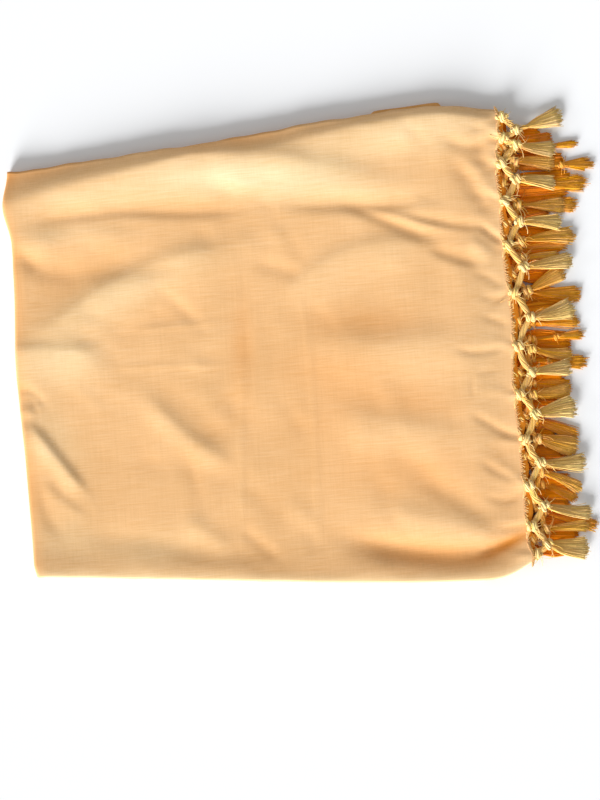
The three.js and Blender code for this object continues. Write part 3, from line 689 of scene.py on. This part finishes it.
def ply_profile():
    """Across the ply: share of the way to the front, step inward and depth into the stack."""
    flat = [(t, 0.0, 0.0) for t in np.linspace(0, 1, PLY_POINTS)]
    turn = [(1.0, -ROLL * math.sin(a), ROLL - ROLL * math.cos(a))
            for a in np.linspace(0, math.pi, ROLL_POINTS)[1:]]
    tuck = [(1.0, TUCK * k / TUCK_POINTS, 2 * ROLL) for k in range(1, TUCK_POINTS + 1)]
    return np.array(flat + turn + tuck).T


def cloth_plan(share, end_x=None):
    """x and y along the ply's profile at a share of the way from the outer fold."""
    t, inward, _ = ply_profile()
    left, right = (mix(back_y(x), front_y(x) + ROLL, t) for x in (PLY_X["left"], PLY_X["right"]))
    start = left_x(left) + FOLD_DEPTH
    x = mix(start, right_x(right) if end_x is None else end_x, share)
    return x, mix(back_y(x), front_y(x) + ROLL, t) + inward


def selvage_wave(x, y):
    """The selvage wanders by under a millimetre."""
    return falloff(back_y(x) - y, 5.0) * waves(x, (0.5, 13.0, 0), (0.35, 5.3, 1.0), (0.4, 37.0, 0))


def outer_cloth_grid():
    """Points of the ply's outer face: under ply, outer length fold, then the top ply."""
    _, _, depth = ply_profile()
    rows = []
    for share in np.linspace(1, 0, UNDER_STATIONS):
        x, y = cloth_plan(share, INNER_FOLD_X)
        rows.append(joined(x, y, depth))
    x, y = cloth_plan(0.0)
    half = top_height(x, y) / 2
    for bend in np.linspace(0, math.pi, BEND_STATIONS)[1:-1]:
        out = (FOLD_DEPTH - depth) * math.sin(bend) ** FOLD_SQUARE
        rise = math.copysign(abs(math.cos(bend)) ** FOLD_SQUARE, math.cos(bend))
        rows.append(joined(x - out, y, half - (half - depth) * rise))
    for share in np.linspace(0, 1, TOP_STATIONS):
        x, y = cloth_plan(share)
        y = y + selvage_wave(x, y)
        rows.append(joined(x, y, top_height(x, y) - depth))
    return np.array(rows)


def make_outer_cloth(material):
    grid = outer_cloth_grid()[:, ::-1]  # its outer face is the cloth's outside
    # painted light and shade on the top ply and its folds; none on the underside
    tints = painted_light_and_shade(grid[..., 0], grid[..., 1])
    tints[:UNDER_STATIONS] = 1.0
    piece = add_shell("shawl_cloth", grid, PLY, material, tints)
    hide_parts("cloth_outer")
    return piece


# ---- the hidden plies, where their edges show ----
SELVAGES = [  # from the bottom ply up: setback from the top ply's selvage and share of the height
    {"back": 2.6, "share": 0.13, "end": INNER_FOLD_X},
    {"back": 0.6, "share": 0.26, "end": INNER_FOLD_X},
    {"back": 3.2, "share": 0.39, "end": INNER_FOLD_X},
    {"back": 1.2, "share": 0.52, "end": 201.0},
    {"back": 2.4, "share": 0.65, "end": 203.0},
    {"back": 0.4, "share": 0.79, "end": 202.0},
]
PEEK = {"from": 74, "to": 150, "out": 3.6}  # where a lower ply stands out past the top ply
# edges of the lower plies at the fringe; each colour is a deep orange painted shade
FRINGED_PLIES = [
    {"out": 7.5, "z": 1.2, "colour": (0.97, 0.24, 0.005)},
    {"out": 4.5, "z": 3.6, "colour": (0.97, 0.28, 0.010)},
    {"out": 3.0, "z": 6.2, "colour": (0.98, 0.29, 0.010)},
    {"out": 4.6, "z": 10.2, "colour": (0.98, 0.35, 0.030)}]
PEEKING = (1, 2, 3)  # which of the selvages stand out there
STRIP = {"start": -289, "stations": 150, "rows": 6, "depth": 26.0, "thick": PLY * 0.8}
UNDER_TOP = 0.9  # clear height under the top ply
ROLLS = {"start": -283, "ends": (INNER_FOLD_X, 203.0), "stations": 170, "points": 13, "clear": 1.2,
         "behind": (6.0, 14.0), "back": 16.0, "least": 0.9}
FRINGED = {"from_to": (-212, 218), "depth": 30, "pinch": 1.5, "reach": 7, "step": 9, "clear": 1.2}
CORE_XS = ((-289, -284, 4), (-280, 150, 60), (153, 197, 8))  # from, to and count of its stations
CORE = {"points": 60, "front": 18, "back": 7, "end": 5.0, "ease": 7, "floor": PLY + 0.4}


def make_selvages(material):
    """One strip of cloth for each hidden ply that shows at the back."""
    pieces = []
    for number, row in enumerate(SELVAGES):
        xs = np.linspace(STRIP["start"], row["end"], STRIP["stations"])
        peek = smooth((xs - PEEK["from"]) / 10) * smooth((PEEK["to"] - xs) / 2)
        out = -row["back"] + (PEEK["out"] + row["back"]) * peek * (number in PEEKING)
        wander = waves(xs, (0.5, 11, 2 * number), (0.4, 29, number))
        lift = waves(xs, (0.35, 17, 1.3 * number), (0.25, 7.1, number))
        grid = []
        for k in np.linspace(0, 1, STRIP["rows"]):
            ys = back_y(xs) + out + wander * (1 - k) - STRIP["depth"] * k
            height = top_height(xs, np.minimum(ys, back_y(xs) - 3)) - PLY
            zs = np.clip(height * row["share"] + lift * (1 - k), PLY + 0.3, None)
            grid.append(joined(xs, ys, zs))
        name = f"ply_edge_back_{number + 1}"
        pieces.append(add_shell(name, np.array(grid), STRIP["thick"], material))
    return pieces


def make_width_rolls(material):
    """The two hidden rolls of the width fold, between those of the top and the bottom ply."""
    pieces = []
    for number, end in enumerate(ROLLS["ends"]):
        xs = np.linspace(ROLLS["start"], end, ROLLS["stations"])
        height = top_height(xs, front_y(xs) + ROLL)
        spare = height - 4 * ROLL
        low = 2 * ROLL + spare * 0.5 * number
        radius = np.maximum(spare / 4, ROLLS["least"])
        front = front_y(xs) + ROLLS["clear"] + waves(xs, (0.6, 19, 2.1 * number), (0.3, 7, number))
        grid = []
        for angle in np.linspace(-0.5, 0.5, ROLLS["points"]) * math.pi:
            ys = front + radius * (1 - math.cos(angle))
            grid.append(joined(xs, ys, low + radius + radius * math.sin(angle)))
        grid.insert(0, grid[0] + [0, ROLLS["back"], 0])
        for step in ROLLS["behind"]:
            grid.append(grid[-1] + [0, step, 0])
        for line in grid:
            roof = top_height(xs, np.maximum(line[:, 1], front_y(xs) + ROLL)) - PLY - UNDER_TOP
            line[:, 2] = np.minimum(line[:, 2], roof)
        name = f"ply_roll_front_{number + 1}"
        pieces.append(add_shell(name, np.array(grid), STRIP["thick"], material))
    return pieces


def make_fringed_plies(material):
    """The edges of the lower plies that end at the fringe, and the end of the inner length fold."""
    pieces = []
    for number, row in enumerate(FRINGED_PLIES):
        ys = np.linspace(*FRINGED["from_to"], STRIP["stations"])
        wander = waves(ys, (1.2, 15, 2 * number), (0.8, 6.3, number))
        shift = FRINGED["step"] * number
        pinch = sum(falloff(ys - knot + shift, FRINGED["reach"]) for knot in EDGE_KNOT_YS)
        out = row["out"] + wander + FRINGED["pinch"] * pinch
        shares = np.linspace(0, 1, STRIP["rows"])
        grid = []
        for k in shares:
            xs = eased(RIGHT_EDGE, ys) + out * (1 - k) - FRINGED["depth"] * k
            zs = row["z"] + waves(ys, (0.4, 9, number)) * (1 - k)
            roof = top_height(np.minimum(xs, right_x(ys)), ys) - PLY - FRINGED["clear"]
            grid.append(joined(xs, ys, np.minimum(zs, roof)))
        grid = np.array(grid)
        # painted shade: deep orange at each ply's edge, turning to the hidden plies' shaded colour
        # inward
        inward = smooth(shares * 3 - 0.6)[:, None, None]
        tints = mix(np.array(row["colour"]), np.array(HIDDEN_SHADED_COLOUR), inward) * np.ones(grid.shape)
        name = f"ply_edge_fringe_{number + 1}"
        piece = add_shell(name, grid, STRIP["thick"], material, tints)
        pieces.append(piece)
    return pieces


def make_stack_core(material):
    """The middle of the stack, which fills the space behind the edges."""
    rows = []
    for x in np.concatenate([np.linspace(*row) for row in CORE_XS]):
        ys = np.linspace(back_y(x) - CORE["back"], front_y(x) + CORE["front"], CORE["points"])
        xs = np.full(ys.shape, x)
        end = smooth((x - CLOTH_X["left"]) / CORE["ease"])
        zs = mix(CORE["end"], top_height(xs, ys) - PLY - UNDER_TOP, end)
        rows.append(joined(xs, ys, zs))
    top = np.array(rows).swapaxes(0, 1)  # its rows now run from back to front, so it faces up
    bottom = top.copy()
    bottom[:, :, 2] = CORE["floor"]
    return add_closed("ply_stack_core", top, bottom, material)


def make_hidden_plies(material, threads):
    core = make_stack_core(material)
    pieces = make_selvages(material) + make_width_rolls(material)
    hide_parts("cloth_inner")
    return [core, *pieces, *make_fringed_plies(threads)]


# ---- fringe ----
THREADS_PER_MM = 6.5  # of a brush's width
THREAD_RADIUS = 0.40
CORE_SHARE = 0.93  # how far a brush's smooth core goes towards its cut end
ROOT_WIDTH = 1.8  # half the width of a brush at its knot
CORD = {"threads": 15, "radius": 2.3, "turn_each": 55.0, "thread": 0.6, "sides": 8, "flat": 0.8,
        "spread": (0.8, 0.35), "core": (0.75, 0.3), "colour_at": 0.55}
KNOTS = {"first": 11.0, "second": 10.5, "stem": 7.0, "stem_from": 15, "lift": 0.3, "top_lift": 1.3}
EDGE_THREADS = {"count": 300, "from_to": (-225, 214), "radius": 0.38, "inside": 1.6,
                "reach": (2.0, 4.6), "draw": 6, "drawn": (0.1, 0.5), "fall": (0.1, 0.9)}
GATHER = {"count": 34, "half": 12, "drawn": 0.14, "radius": 0.55, "inside": 1.0, "top_inside": 2.2}
STRAYS = {"each": 6, "length": (0.8, 1.6), "radius": 0.26, "way": 0.9, "bend": 0.7,
          "arch": 0.25, "end": (-1.5, 0.8)}
# the last value is lightness added to every knot's colour, a painted highlight
WINDING = {"turns": 1.9, "ring": 0.40, "half": 0.42, "flat": 0.62, "threads": 10, "points": 26,
           "bundle": 0.16, "twist": 1.2, "thread": 0.085, "painted_highlight": 0.05}
TINTS = {"ease": 0.7, "lightness": 0.09, "warmth": 0.03, "warmer": (0.4, 0.0, -1.0),
         "from_to": (0.002, 0.98)}
BRUSH = {"clumps": 5, "clumped": 0.72, "loose": 0.3, "ragged": 0.035, "domed": 0.06, "curl": 0.45,
         "stray": 0.8, "sunk": (-0.35, 0.10), "taper": (1.15, 0.85), "core_sides": 24,
         "half": (1.5, 1.05), "bow": 1.2, "flare": (0.5, 0.9), "from_knot": 2.0, "lowest": 0.45}


def fringe_height(layer, x):
    """The middle of a layer of fringe, which droops outward."""
    out = np.clip((x - FRINGE_X["start"]) / (FRINGE_X["end"] - FRINGE_X["start"]), 0, 1)
    return layer["height"] - layer["droop"] * np.sin(out * math.pi / 2)


def second_knot(tassel):
    """x of the knot that a tassel hangs from."""
    return float(eased(RIGHT_EDGE, tassel["knot"])) + EDGE_CLEAR + KNOT_REACH * 2 + NET_DEPTH


def thread_tints(layer, shares, rng, count, painted_highlight=0.0):
    """Root to tip colours with painted shade at the roots, a little lighter or darker from thread to
    thread, plus any painted highlight.
    """
    root, tip = (np.array(colour) for colour in THREAD_COLOURS_AND_SHADE[layer["name"]])
    tints = mix(root, tip, shares[None, :, None] ** TINTS["ease"]) * np.ones((count, 1, 1))
    tints = tints * rng.normal(1.0, TINTS["lightness"], (count, 1, 1)) + painted_highlight
    warm = rng.normal(0, TINTS["warmth"], (count, 1, 1)) * np.array(TINTS["warmer"])
    return np.clip(tints + warm, *TINTS["from_to"])


def bundle_paths(centre, radius, twist, count, phase, flat=0.75):
    """Paths of threads twisted about a centre line."""
    aside, above = sides_of(centre)
    shares = np.linspace(0, 1, len(centre))
    paths = []
    for k in range(count):
        ring = radius * (0.45 if k % 3 == 0 else 1.0)
        angle = phase + 2 * math.pi * (k / count + twist * shares)
        paths.append(centre + ring * (np.cos(angle)[:, None] * aside
                                      + flat * np.sin(angle)[:, None] * above))
    return np.array(paths)


def add_cord(bundle, layer, start, end, bow, rng):
    """A loosely twisted bundle of threads from one place to another, bowed aside."""
    start, end = np.array(start, float), np.array(end, float)
    shares = np.linspace(0, 1, 9)
    aside = unit(np.cross(end - start, [0, 0, 1]))
    swell = np.sin(shares * math.pi)
    centre = mix(start, end, shares[:, None]) + aside * bow * swell[:, None]
    twist = np.linalg.norm(end - start) / CORD["turn_each"]
    paths = bundle_paths(centre, 1.0, twist, CORD["threads"], rng.uniform(0, 6))
    least, more = CORD["spread"]
    spread = CORD["radius"] * (least + more * swell)[None, :, None]
    paths = centre[None] + (paths - centre[None]) * spread
    tints = thread_tints(layer, np.full(9, CORD["colour_at"]), rng, CORD["threads"])
    bundle.add(paths, CORD["thread"], 4, tints)
    least, more = CORD["core"]
    core = (CORD["radius"] * (least + more * swell))[None]
    bundle.add(centre[None], core, CORD["sides"], tints[:1], CORD["flat"])


def add_knot(bundle, layer, middle, turn, size, rng):
    """An overhand knot: a bundle that winds about itself nearly twice."""
    shares = np.linspace(0, 1, WINDING["points"])
    ring = size * WINDING["ring"] * np.sin(shares * math.pi) ** 0.6
    angle = 2 * math.pi * WINDING["turns"] * shares + rng.uniform(0, 6)
    along = size * mix(-WINDING["half"], WINDING["half"], shares)
    aside = ring * np.cos(angle)
    above = ring * np.sin(angle) * WINDING["flat"]
    cos, sin = math.cos(turn), math.sin(turn)
    centre = joined(middle[0] + along * cos - aside * sin,
                    middle[1] + along * sin + aside * cos, middle[2] + above)
    count = WINDING["threads"]
    phase = rng.uniform(0, 6)
    paths = bundle_paths(centre, size * WINDING["bundle"], WINDING["twist"], count, phase, flat=0.9)
    # knots get a painted highlight
    tints = thread_tints(layer, np.ones(WINDING["points"]), rng, count, painted_highlight=WINDING["painted_highlight"])
    bundle.add(paths, size * WINDING["thread"], 4, tints)
    add_strays(bundle, layer, middle, turn, size, rng)


def add_strays(bundle, layer, middle, turn, size, rng):
    """A few single threads that have slipped out of a knot."""
    count = STRAYS["each"]
    shares = np.linspace(0, 1, 6)
    length = size * rng.uniform(*STRAYS["length"], (count, 1))
    way = turn + rng.normal(0, STRAYS["way"], (count, 1))
    bend = way + rng.normal(0, STRAYS["bend"], (count, 1)) * shares
    xs = middle[0] + length * shares * np.cos(bend)
    ys = middle[1] + length * shares * np.sin(bend)
    arch = size * STRAYS["arch"] * np.sin(shares * 3)
    zs = middle[2] + arch + rng.uniform(*STRAYS["end"], (count, 1)) * shares
    tints = thread_tints(layer, np.ones(6), rng, count)
    bundle.add(joined(xs, ys, zs), STRAYS["radius"], 3, tints)


def add_edge_threads(bundle, layer, rng):
    """Short ends of warp thread all along the cloth's edge, drawn a little towards the knots."""
    count = EDGE_THREADS["count"]
    ys = np.linspace(*EDGE_THREADS["from_to"], count) + rng.normal(0, 0.25, count)
    knots = np.array(EDGE_KNOT_YS)
    nearest = knots[np.abs(ys[:, None] - knots[None, :]).argmin(axis=1)]
    shares = np.linspace(0, 1, 5)
    start = right_x(ys) - EDGE_THREADS["inside"]
    reach = rng.uniform(*EDGE_THREADS["reach"], count)
    xs = start[:, None] + reach[:, None] * shares
    most = EDGE_THREADS["draw"]
    drawn = np.clip(nearest - ys, -most, most) * rng.uniform(*EDGE_THREADS["drawn"], count)
    yy = ys[:, None] + drawn[:, None] * smooth(shares)[None, :]
    fall = rng.uniform(*EDGE_THREADS["fall"], count)
    zz = top_height(start, ys)[:, None] + 0.15 - fall[:, None] * (shares ** 2)[None, :]
    tints = thread_tints(layer, shares, rng, count)
    tints = mix(np.array(CLOTH_COLOUR), tints, smooth(shares)[None, :, None])
    bundle.add(joined(xs, yy, zz), EDGE_THREADS["radius"], 4, tints)


def add_gather(bundle, layer, knot, rng):
    """Warp threads that leave the cloth's edge and come together in a first-row knot."""
    count = GATHER["count"]
    starts = np.linspace(-GATHER["half"], GATHER["half"], count) + rng.normal(0, 0.3, count)
    ys = knot[1] + starts
    on_top = layer["name"] == "upper"
    edge = right_x(ys) - (GATHER["top_inside"] if on_top else GATHER["inside"])
    shares = np.linspace(0, 1, 6)
    draw = smooth(shares)[None, :]
    xs = mix(edge[:, None], knot[0] - 0.5, shares[None, :])
    yy = mix(ys[:, None], knot[1] + GATHER["drawn"] * starts[:, None], draw)
    low = fringe_height(layer, 200.0)
    high = top_height(edge, ys) + 0.1 if on_top else np.full(count, low)
    lift = KNOTS["top_lift"] if on_top else KNOTS["lift"]
    zz = mix(high[:, None], low + lift, shares[None, :] ** 1.5)
    zz = zz + rng.normal(0, 0.3, (count, 1)) * shares
    tints = thread_tints(layer, np.full(6, 0.5), rng, count)
    tints = mix(np.array(CLOTH_COLOUR), tints, smooth(shares * 2)[None, :, None])
    bundle.add(joined(xs, yy, zz), GATHER["radius"], 4, tints)


def make_net(layer, material):
    """First-row knots at the cloth, second-row knots further out, and the cords between them."""
    rng = np.random.default_rng(40 + len(layer["tassels"]))
    bundle = Bundle()
    firsts = first_knots(layer)
    seconds = [(second_knot(tassel), tassel["knot"]) for tassel in tassels_of(layer)]
    for x, y in firsts:
        lift = KNOTS["top_lift"] if layer["name"] == "upper" else KNOTS["lift"]
        middle = (x, y, fringe_height(layer, x) + lift)
        add_knot(bundle, layer, middle, rng.normal(0, 0.4), KNOTS["first"], rng)
        add_gather(bundle, layer, (x, y), rng)
    if layer["name"] == "upper":
        add_edge_threads(bundle, layer, rng)
    for (x, y), behind, ahead in zip(seconds, firsts, firsts[1:]):
        middle = (x, y, fringe_height(layer, x) + KNOTS["lift"])
        add_knot(bundle, layer, middle, rng.normal(0, 0.3), KNOTS["second"], rng)
        for other, side in ((behind, -1), (ahead, 1)):
            start = (other[0] + 1.5, other[1] + side * 2.2, fringe_height(layer, other[0]))
            end = (x - 1.5, y - side * 2.2, fringe_height(layer, x) + rng.normal(0, 0.3))
            add_cord(bundle, layer, start, end, rng.normal(0, 1.2), rng)
    piece = bundle.make(f"knotted_net_{layer['name']}", material)
    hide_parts(f"fringe_net_{layer['name']}")
    return piece


def tassels_of(layer):
    return named(TASSEL_COLUMNS, layer["tassels"])


def add_brush_core(bundle, layer, tassel, start, power, rng):
    """The middle of a brush, in which the threads of its surface lie half sunk."""
    shares = np.linspace(0, 1, 12)
    reach = tassel["stem"] + tassel["length"] + TASSEL_EXTRA
    run = shares * reach * CORE_SHARE
    flare = np.clip((run - tassel["stem"]) / (reach - tassel["stem"]), 0, 1) ** power
    wide = mix(ROOT_WIDTH, tassel["width"] / 2 + 0.3, flare)
    bow = brush_bow(tassel, run / reach)
    turn = math.radians(tassel["turn"])
    xs = start + run * math.cos(turn) - bow * math.sin(turn)
    ys = tassel["knot"] + run * math.sin(turn) + bow * math.cos(turn)
    path = joined(xs, ys, fringe_height(layer, xs))[None]
    tints = thread_tints(layer, shares, rng, 1)
    flat = (brush_height(flare) / wide)[None]
    bundle.add(path, wide[None], BRUSH["core_sides"], tints, flat)


def brush_height(flare):
    """Half the thickness of a brush, from its knot to its cut end."""
    return mix(*BRUSH["half"], flare)


def brush_bow(tassel, share):
    """How far a brush bows aside, to one side or the other by its place."""
    side = math.sin(tassel["knot"])
    return BRUSH["bow"] * side * np.sin(share * math.pi) * tassel["length"] / 34


def make_tassel(layer, tassel, number, material):
    """A brush of fine threads that flares from its knot to its cut end."""
    rng = np.random.default_rng(1000 + 50 * len(layer["name"]) + number)
    count = int(tassel["width"] * THREADS_PER_MM)
    reach = tassel["stem"] + tassel["length"] + TASSEL_EXTRA
    shares = np.linspace(0, 1, 9)
    clump = np.round(rng.uniform(-1, 1, count) * BRUSH["clumps"]) / BRUSH["clumps"]
    loose = BRUSH["loose"] * rng.uniform(-1, 1, count)
    aside = np.clip(BRUSH["clumped"] * clump + loose, -1, 1)
    above = rng.uniform(-0.6, 1, count)
    cut = reach * (1 + rng.normal(0, BRUSH["ragged"], count) - BRUSH["domed"] * aside ** 2)
    run = shares[None, :] * cut[:, None]
    power = rng.uniform(*BRUSH["flare"])
    flare = np.clip((run - tassel["stem"]) / (tassel["length"] + TASSEL_EXTRA), 0, 1) ** power
    spread = tassel["width"] / 2 + 0.8 + rng.normal(0, 0.7, (count, 1))
    lateral = aside[:, None] * mix(ROOT_WIDTH, spread, flare)
    curl = np.sin(shares * 7 + rng.uniform(0, 6, (count, 1)))
    lateral = lateral + BRUSH["curl"] * curl * shares
    lateral = lateral + rng.normal(0, BRUSH["stray"], (count, 1)) * shares ** 3
    lateral = lateral + brush_bow(tassel, shares)
    turn = math.radians(tassel["turn"])
    start = second_knot(tassel) + BRUSH["from_knot"]
    xs = start + run * math.cos(turn) - lateral * math.sin(turn)
    ys = tassel["knot"] + run * math.sin(turn) + lateral * math.cos(turn)
    dome = np.sqrt(1.0 - 0.9 * aside[:, None] ** 2)
    sunk = rng.uniform(*BRUSH["sunk"], (count, 1))
    zs = fringe_height(layer, xs) + np.sign(above[:, None]) * (brush_height(flare) * dome + sunk)
    zs = np.maximum(zs, BRUSH["lowest"])
    tints = thread_tints(layer, shares, rng, count)
    # painted light and shade: threads on the brush's top are painted lighter, those underneath darker
    lift = (above * 0.5 + 0.5)[:, None, None]
    tints = tints * mix(0.9, 1.04, lift)
    bundle = Bundle()
    taper = THREAD_RADIUS * mix(*BRUSH["taper"], shares)[None, :]
    bundle.add(joined(xs, ys, zs), taper, 3, tints)
    add_brush_core(bundle, layer, tassel, start, power, rng)
    if tassel["stem"] > KNOTS["stem_from"]:
        x = start + (tassel["stem"] - 2) * math.cos(turn)
        y = tassel["knot"] + (tassel["stem"] - 2) * math.sin(turn)
        add_knot(bundle, layer, (x, y, fringe_height(layer, x) + 0.4), turn, KNOTS["stem"], rng)
    name = f"{layer['name']}_{number + 1:02d}"
    piece = bundle.make(f"brush_{name}", material)
    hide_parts(f"tassel_{name}")
    return piece


UNDER_EDGE = [  # how far the brushes of the lowest plies reach, down and across in the picture
    (108, 538), (130, 540), (145, 558), (165, 572), (185, 572), (205, 566), (218, 549), (228, 549),
    (240, 566), (262, 560), (275, 557), (290, 567), (310, 558), (330, 568), (360, 568), (385, 561),
    (413, 562), (424, 545), (440, 560), (470, 570), (500, 566), (520, 577), (545, 572), (558, 560)]
UNDER_PITCH = 14.5
UNDER = {"from_to": (-216, 214), "threads": 78, "start": -4, "wide": 0.62, "tied": 0.30,
         "knot": (17.0, 8.0), "heights": (3.2, 1.5), "droop": 60, "half": 0.95, "radius": 0.5,
         "stray": 1.5, "ragged": 0.02, "domed": 0.05, "turn": 0.10, "turn_from": 20, "thick": 0.85,
         "lowest": 0.5, "lightness": (0.8, 1.1), "less": 0.02, "core_share": 0.95, "core_sides": 18}


def under_form(run, less=0.0):
    """Half the width of a brush of the lowest plies, and its height, along its run."""
    middle, reach = UNDER["knot"]
    tied = falloff(run - middle, reach)
    wide = mix(UNDER_PITCH * (UNDER["wide"] - less), UNDER_PITCH * (UNDER["tied"] - less), tied)
    return wide, mix(*UNDER["heights"], smooth(run / UNDER["droop"]))


def make_under_fringe(material):
    """Brushes of the lowest plies, which fill the gaps: drawn in at their knots, then spread."""
    rng = np.random.default_rng(77)
    layer = {"name": "under"}
    bundle = Bundle()
    shares = np.linspace(0, 1, 10)
    ends = [(place(across, down)[1], place(across, down)[0]) for down, across in reversed(UNDER_EDGE)]
    count = UNDER["threads"]
    for y in np.arange(*UNDER["from_to"], UNDER_PITCH):
        middle = y + rng.normal(0, UNDER["stray"])
        start = float(eased(RIGHT_EDGE, middle)) + UNDER["start"]
        reach = float(np.interp(middle, *zip(*ends))) - start + rng.normal(0, 1.2)
        aside = rng.uniform(-1, 1, count)
        cut = reach * (1 + rng.normal(0, UNDER["ragged"], count) - UNDER["domed"] * aside ** 2)
        run = shares[None, :] * cut[:, None]
        wide, height = under_form(run)
        turn = rng.normal(0, UNDER["turn"])
        ys = middle + aside[:, None] * wide + turn * np.maximum(run - UNDER["turn_from"], 0)
        zs = np.maximum(height + rng.uniform(-1, 1, (count, 1)) * UNDER["thick"], UNDER["lowest"])
        # the lowest brushes carry the deepest orange of the threads, which is painted shade; each is a
        # little lighter or darker at random
        tints = thread_tints(layer, shares, rng, count) * rng.uniform(*UNDER["lightness"])
        core = np.linspace(0, 1, 14)
        wide, height = under_form(core * reach, less=UNDER["less"])
        bent = turn * np.maximum(core * reach - UNDER["turn_from"], 0)
        path = joined(start + core * reach * UNDER["core_share"], middle + bent, height)[None]
        flat = (UNDER["half"] / wide)[None]
        core_tints = thread_tints(layer, core, rng, 1)
        bundle.add(path, wide[None], UNDER["core_sides"], core_tints, flat)
        bundle.add(joined(start + run, ys, zs), UNDER["radius"], 3, tints)
    piece = bundle.make("brushes_of_lowest_plies", material)
    return piece


# ---- surroundings ----
LENS = 70.0  # mm
FILM = 36.0  # mm along the picture's long side
VIEW = {"lower": 2.4, "nearer": 0.996, "far": 50.0}  # small fits of the picture's frame
TILT = math.radians(3.0)  # the camera stands a little towards the width fold
LIGHTS = [  # where each comes from in the picture (across, down), and its height, softness and power
    {"name": "key", "from": LIGHT_FROM, "rise": 19.5, "spread": 28, "strength": 5.9},
    {"name": "side", "from": (-0.97, 0.25), "rise": 11, "spread": 20, "strength": 1.0}]
LAMP_COLOUR = (1.0, 0.985, 0.96)
SKY = {"colour": (1.0, 0.97, 0.92), "strength": 0.42}
FLOOR = {"half": 4.0, "z": -0.0003, "colour": (0.90, 0.93, 0.98, 1.0), "roughness": 0.95}  # metres


def make_camera():
    camera = bpy.data.cameras.new("camera")
    camera.lens = LENS
    camera.sensor_width = FILM
    camera.clip_end = VIEW["far"]
    holder = linked("camera", camera)
    bpy.context.scene.camera = holder
    x, y = place(PICTURE["wide"] / 2, PICTURE["high"] / 2 + VIEW["lower"])
    target = Vector((x * MM, y * MM, BULK * MM))
    up = Vector((*turned(0, -1), 0)).normalized()
    right = Vector((*turned(1, 0), 0)).normalized()
    back = (Vector((0, 0, 1)) * math.cos(TILT) - up * math.sin(TILT)).normalized()
    distance = VIEW["nearer"] * PICTURE["high"] * MM * LENS / FILM
    view_up = back.cross(right)
    turn = Matrix((right, view_up, back)).transposed().to_4x4()
    holder.matrix_world = Matrix.Translation(target + back * distance) @ turn


def make_light():
    for row in LIGHTS:
        x, y = turned(*row["from"])
        rise = math.radians(row["rise"])
        level = Vector((x, y, 0)).normalized()
        away = level * math.cos(rise) + Vector((0, 0, 1)) * math.sin(rise)
        lamp = bpy.data.lights.new(row["name"], "SUN")
        lamp.angle = math.radians(row["spread"])
        lamp.energy = row["strength"]
        lamp.color = LAMP_COLOUR
        holder = linked(row["name"], lamp)
        holder.location = away
        holder.rotation_euler = away.to_track_quat("Z", "Y").to_euler()
    world = bpy.data.worlds.new("sky")
    world.use_nodes = True
    background = world.node_tree.nodes["Background"]
    set_inputs(background, {"Color": (*SKY["colour"], 1.0), "Strength": SKY["strength"]})
    bpy.context.scene.world = world


def make_floor():
    mesh = bpy.data.meshes.new("floor")
    half = FLOOR["half"]
    corners = [(-half, -half, 0), (half, -half, 0), (half, half, 0), (-half, half, 0)]
    mesh.from_pydata(corners, [], [(0, 1, 2, 3)])
    floor = linked("floor", mesh)
    floor.location.z = FLOOR["z"]
    mesh.materials.append(new_material("white_floor", {
        "Base Color": FLOOR["colour"], "Roughness": FLOOR["roughness"], "Specular IOR Level": 0.0}))


def make_shawl():
    cloth = cloth_material("ochre_cotton", CLOTH_SLUB_DARK, CLOTH_COLOUR, CLOTH_SLUB_LIGHT, True)
    # the hidden plies use a copy of the cloth painted deeper, as painted shade
    dark, light = (tuple(share * c for c in HIDDEN_SHADED_COLOUR) for share in HIDDEN_SLUBS)
    hidden = cloth_material("ochre_cotton_folded", dark, HIDDEN_SHADED_COLOUR, light, False)
    threads = thread_material("ochre_threads")
    outer = make_outer_cloth(cloth)
    plies = make_hidden_plies(hidden, threads)
    fringe = [make_under_fringe(threads)]
    for layer in FRINGE_LAYERS:
        fringe.append(make_net(layer, threads))
        for number, tassel in enumerate(tassels_of(layer)):
            fringe.append(make_tassel(layer, tassel, number, threads))


bpy.context.scene.view_settings.view_transform = "Standard"
make_camera()
make_floor()
make_light()
make_shawl()
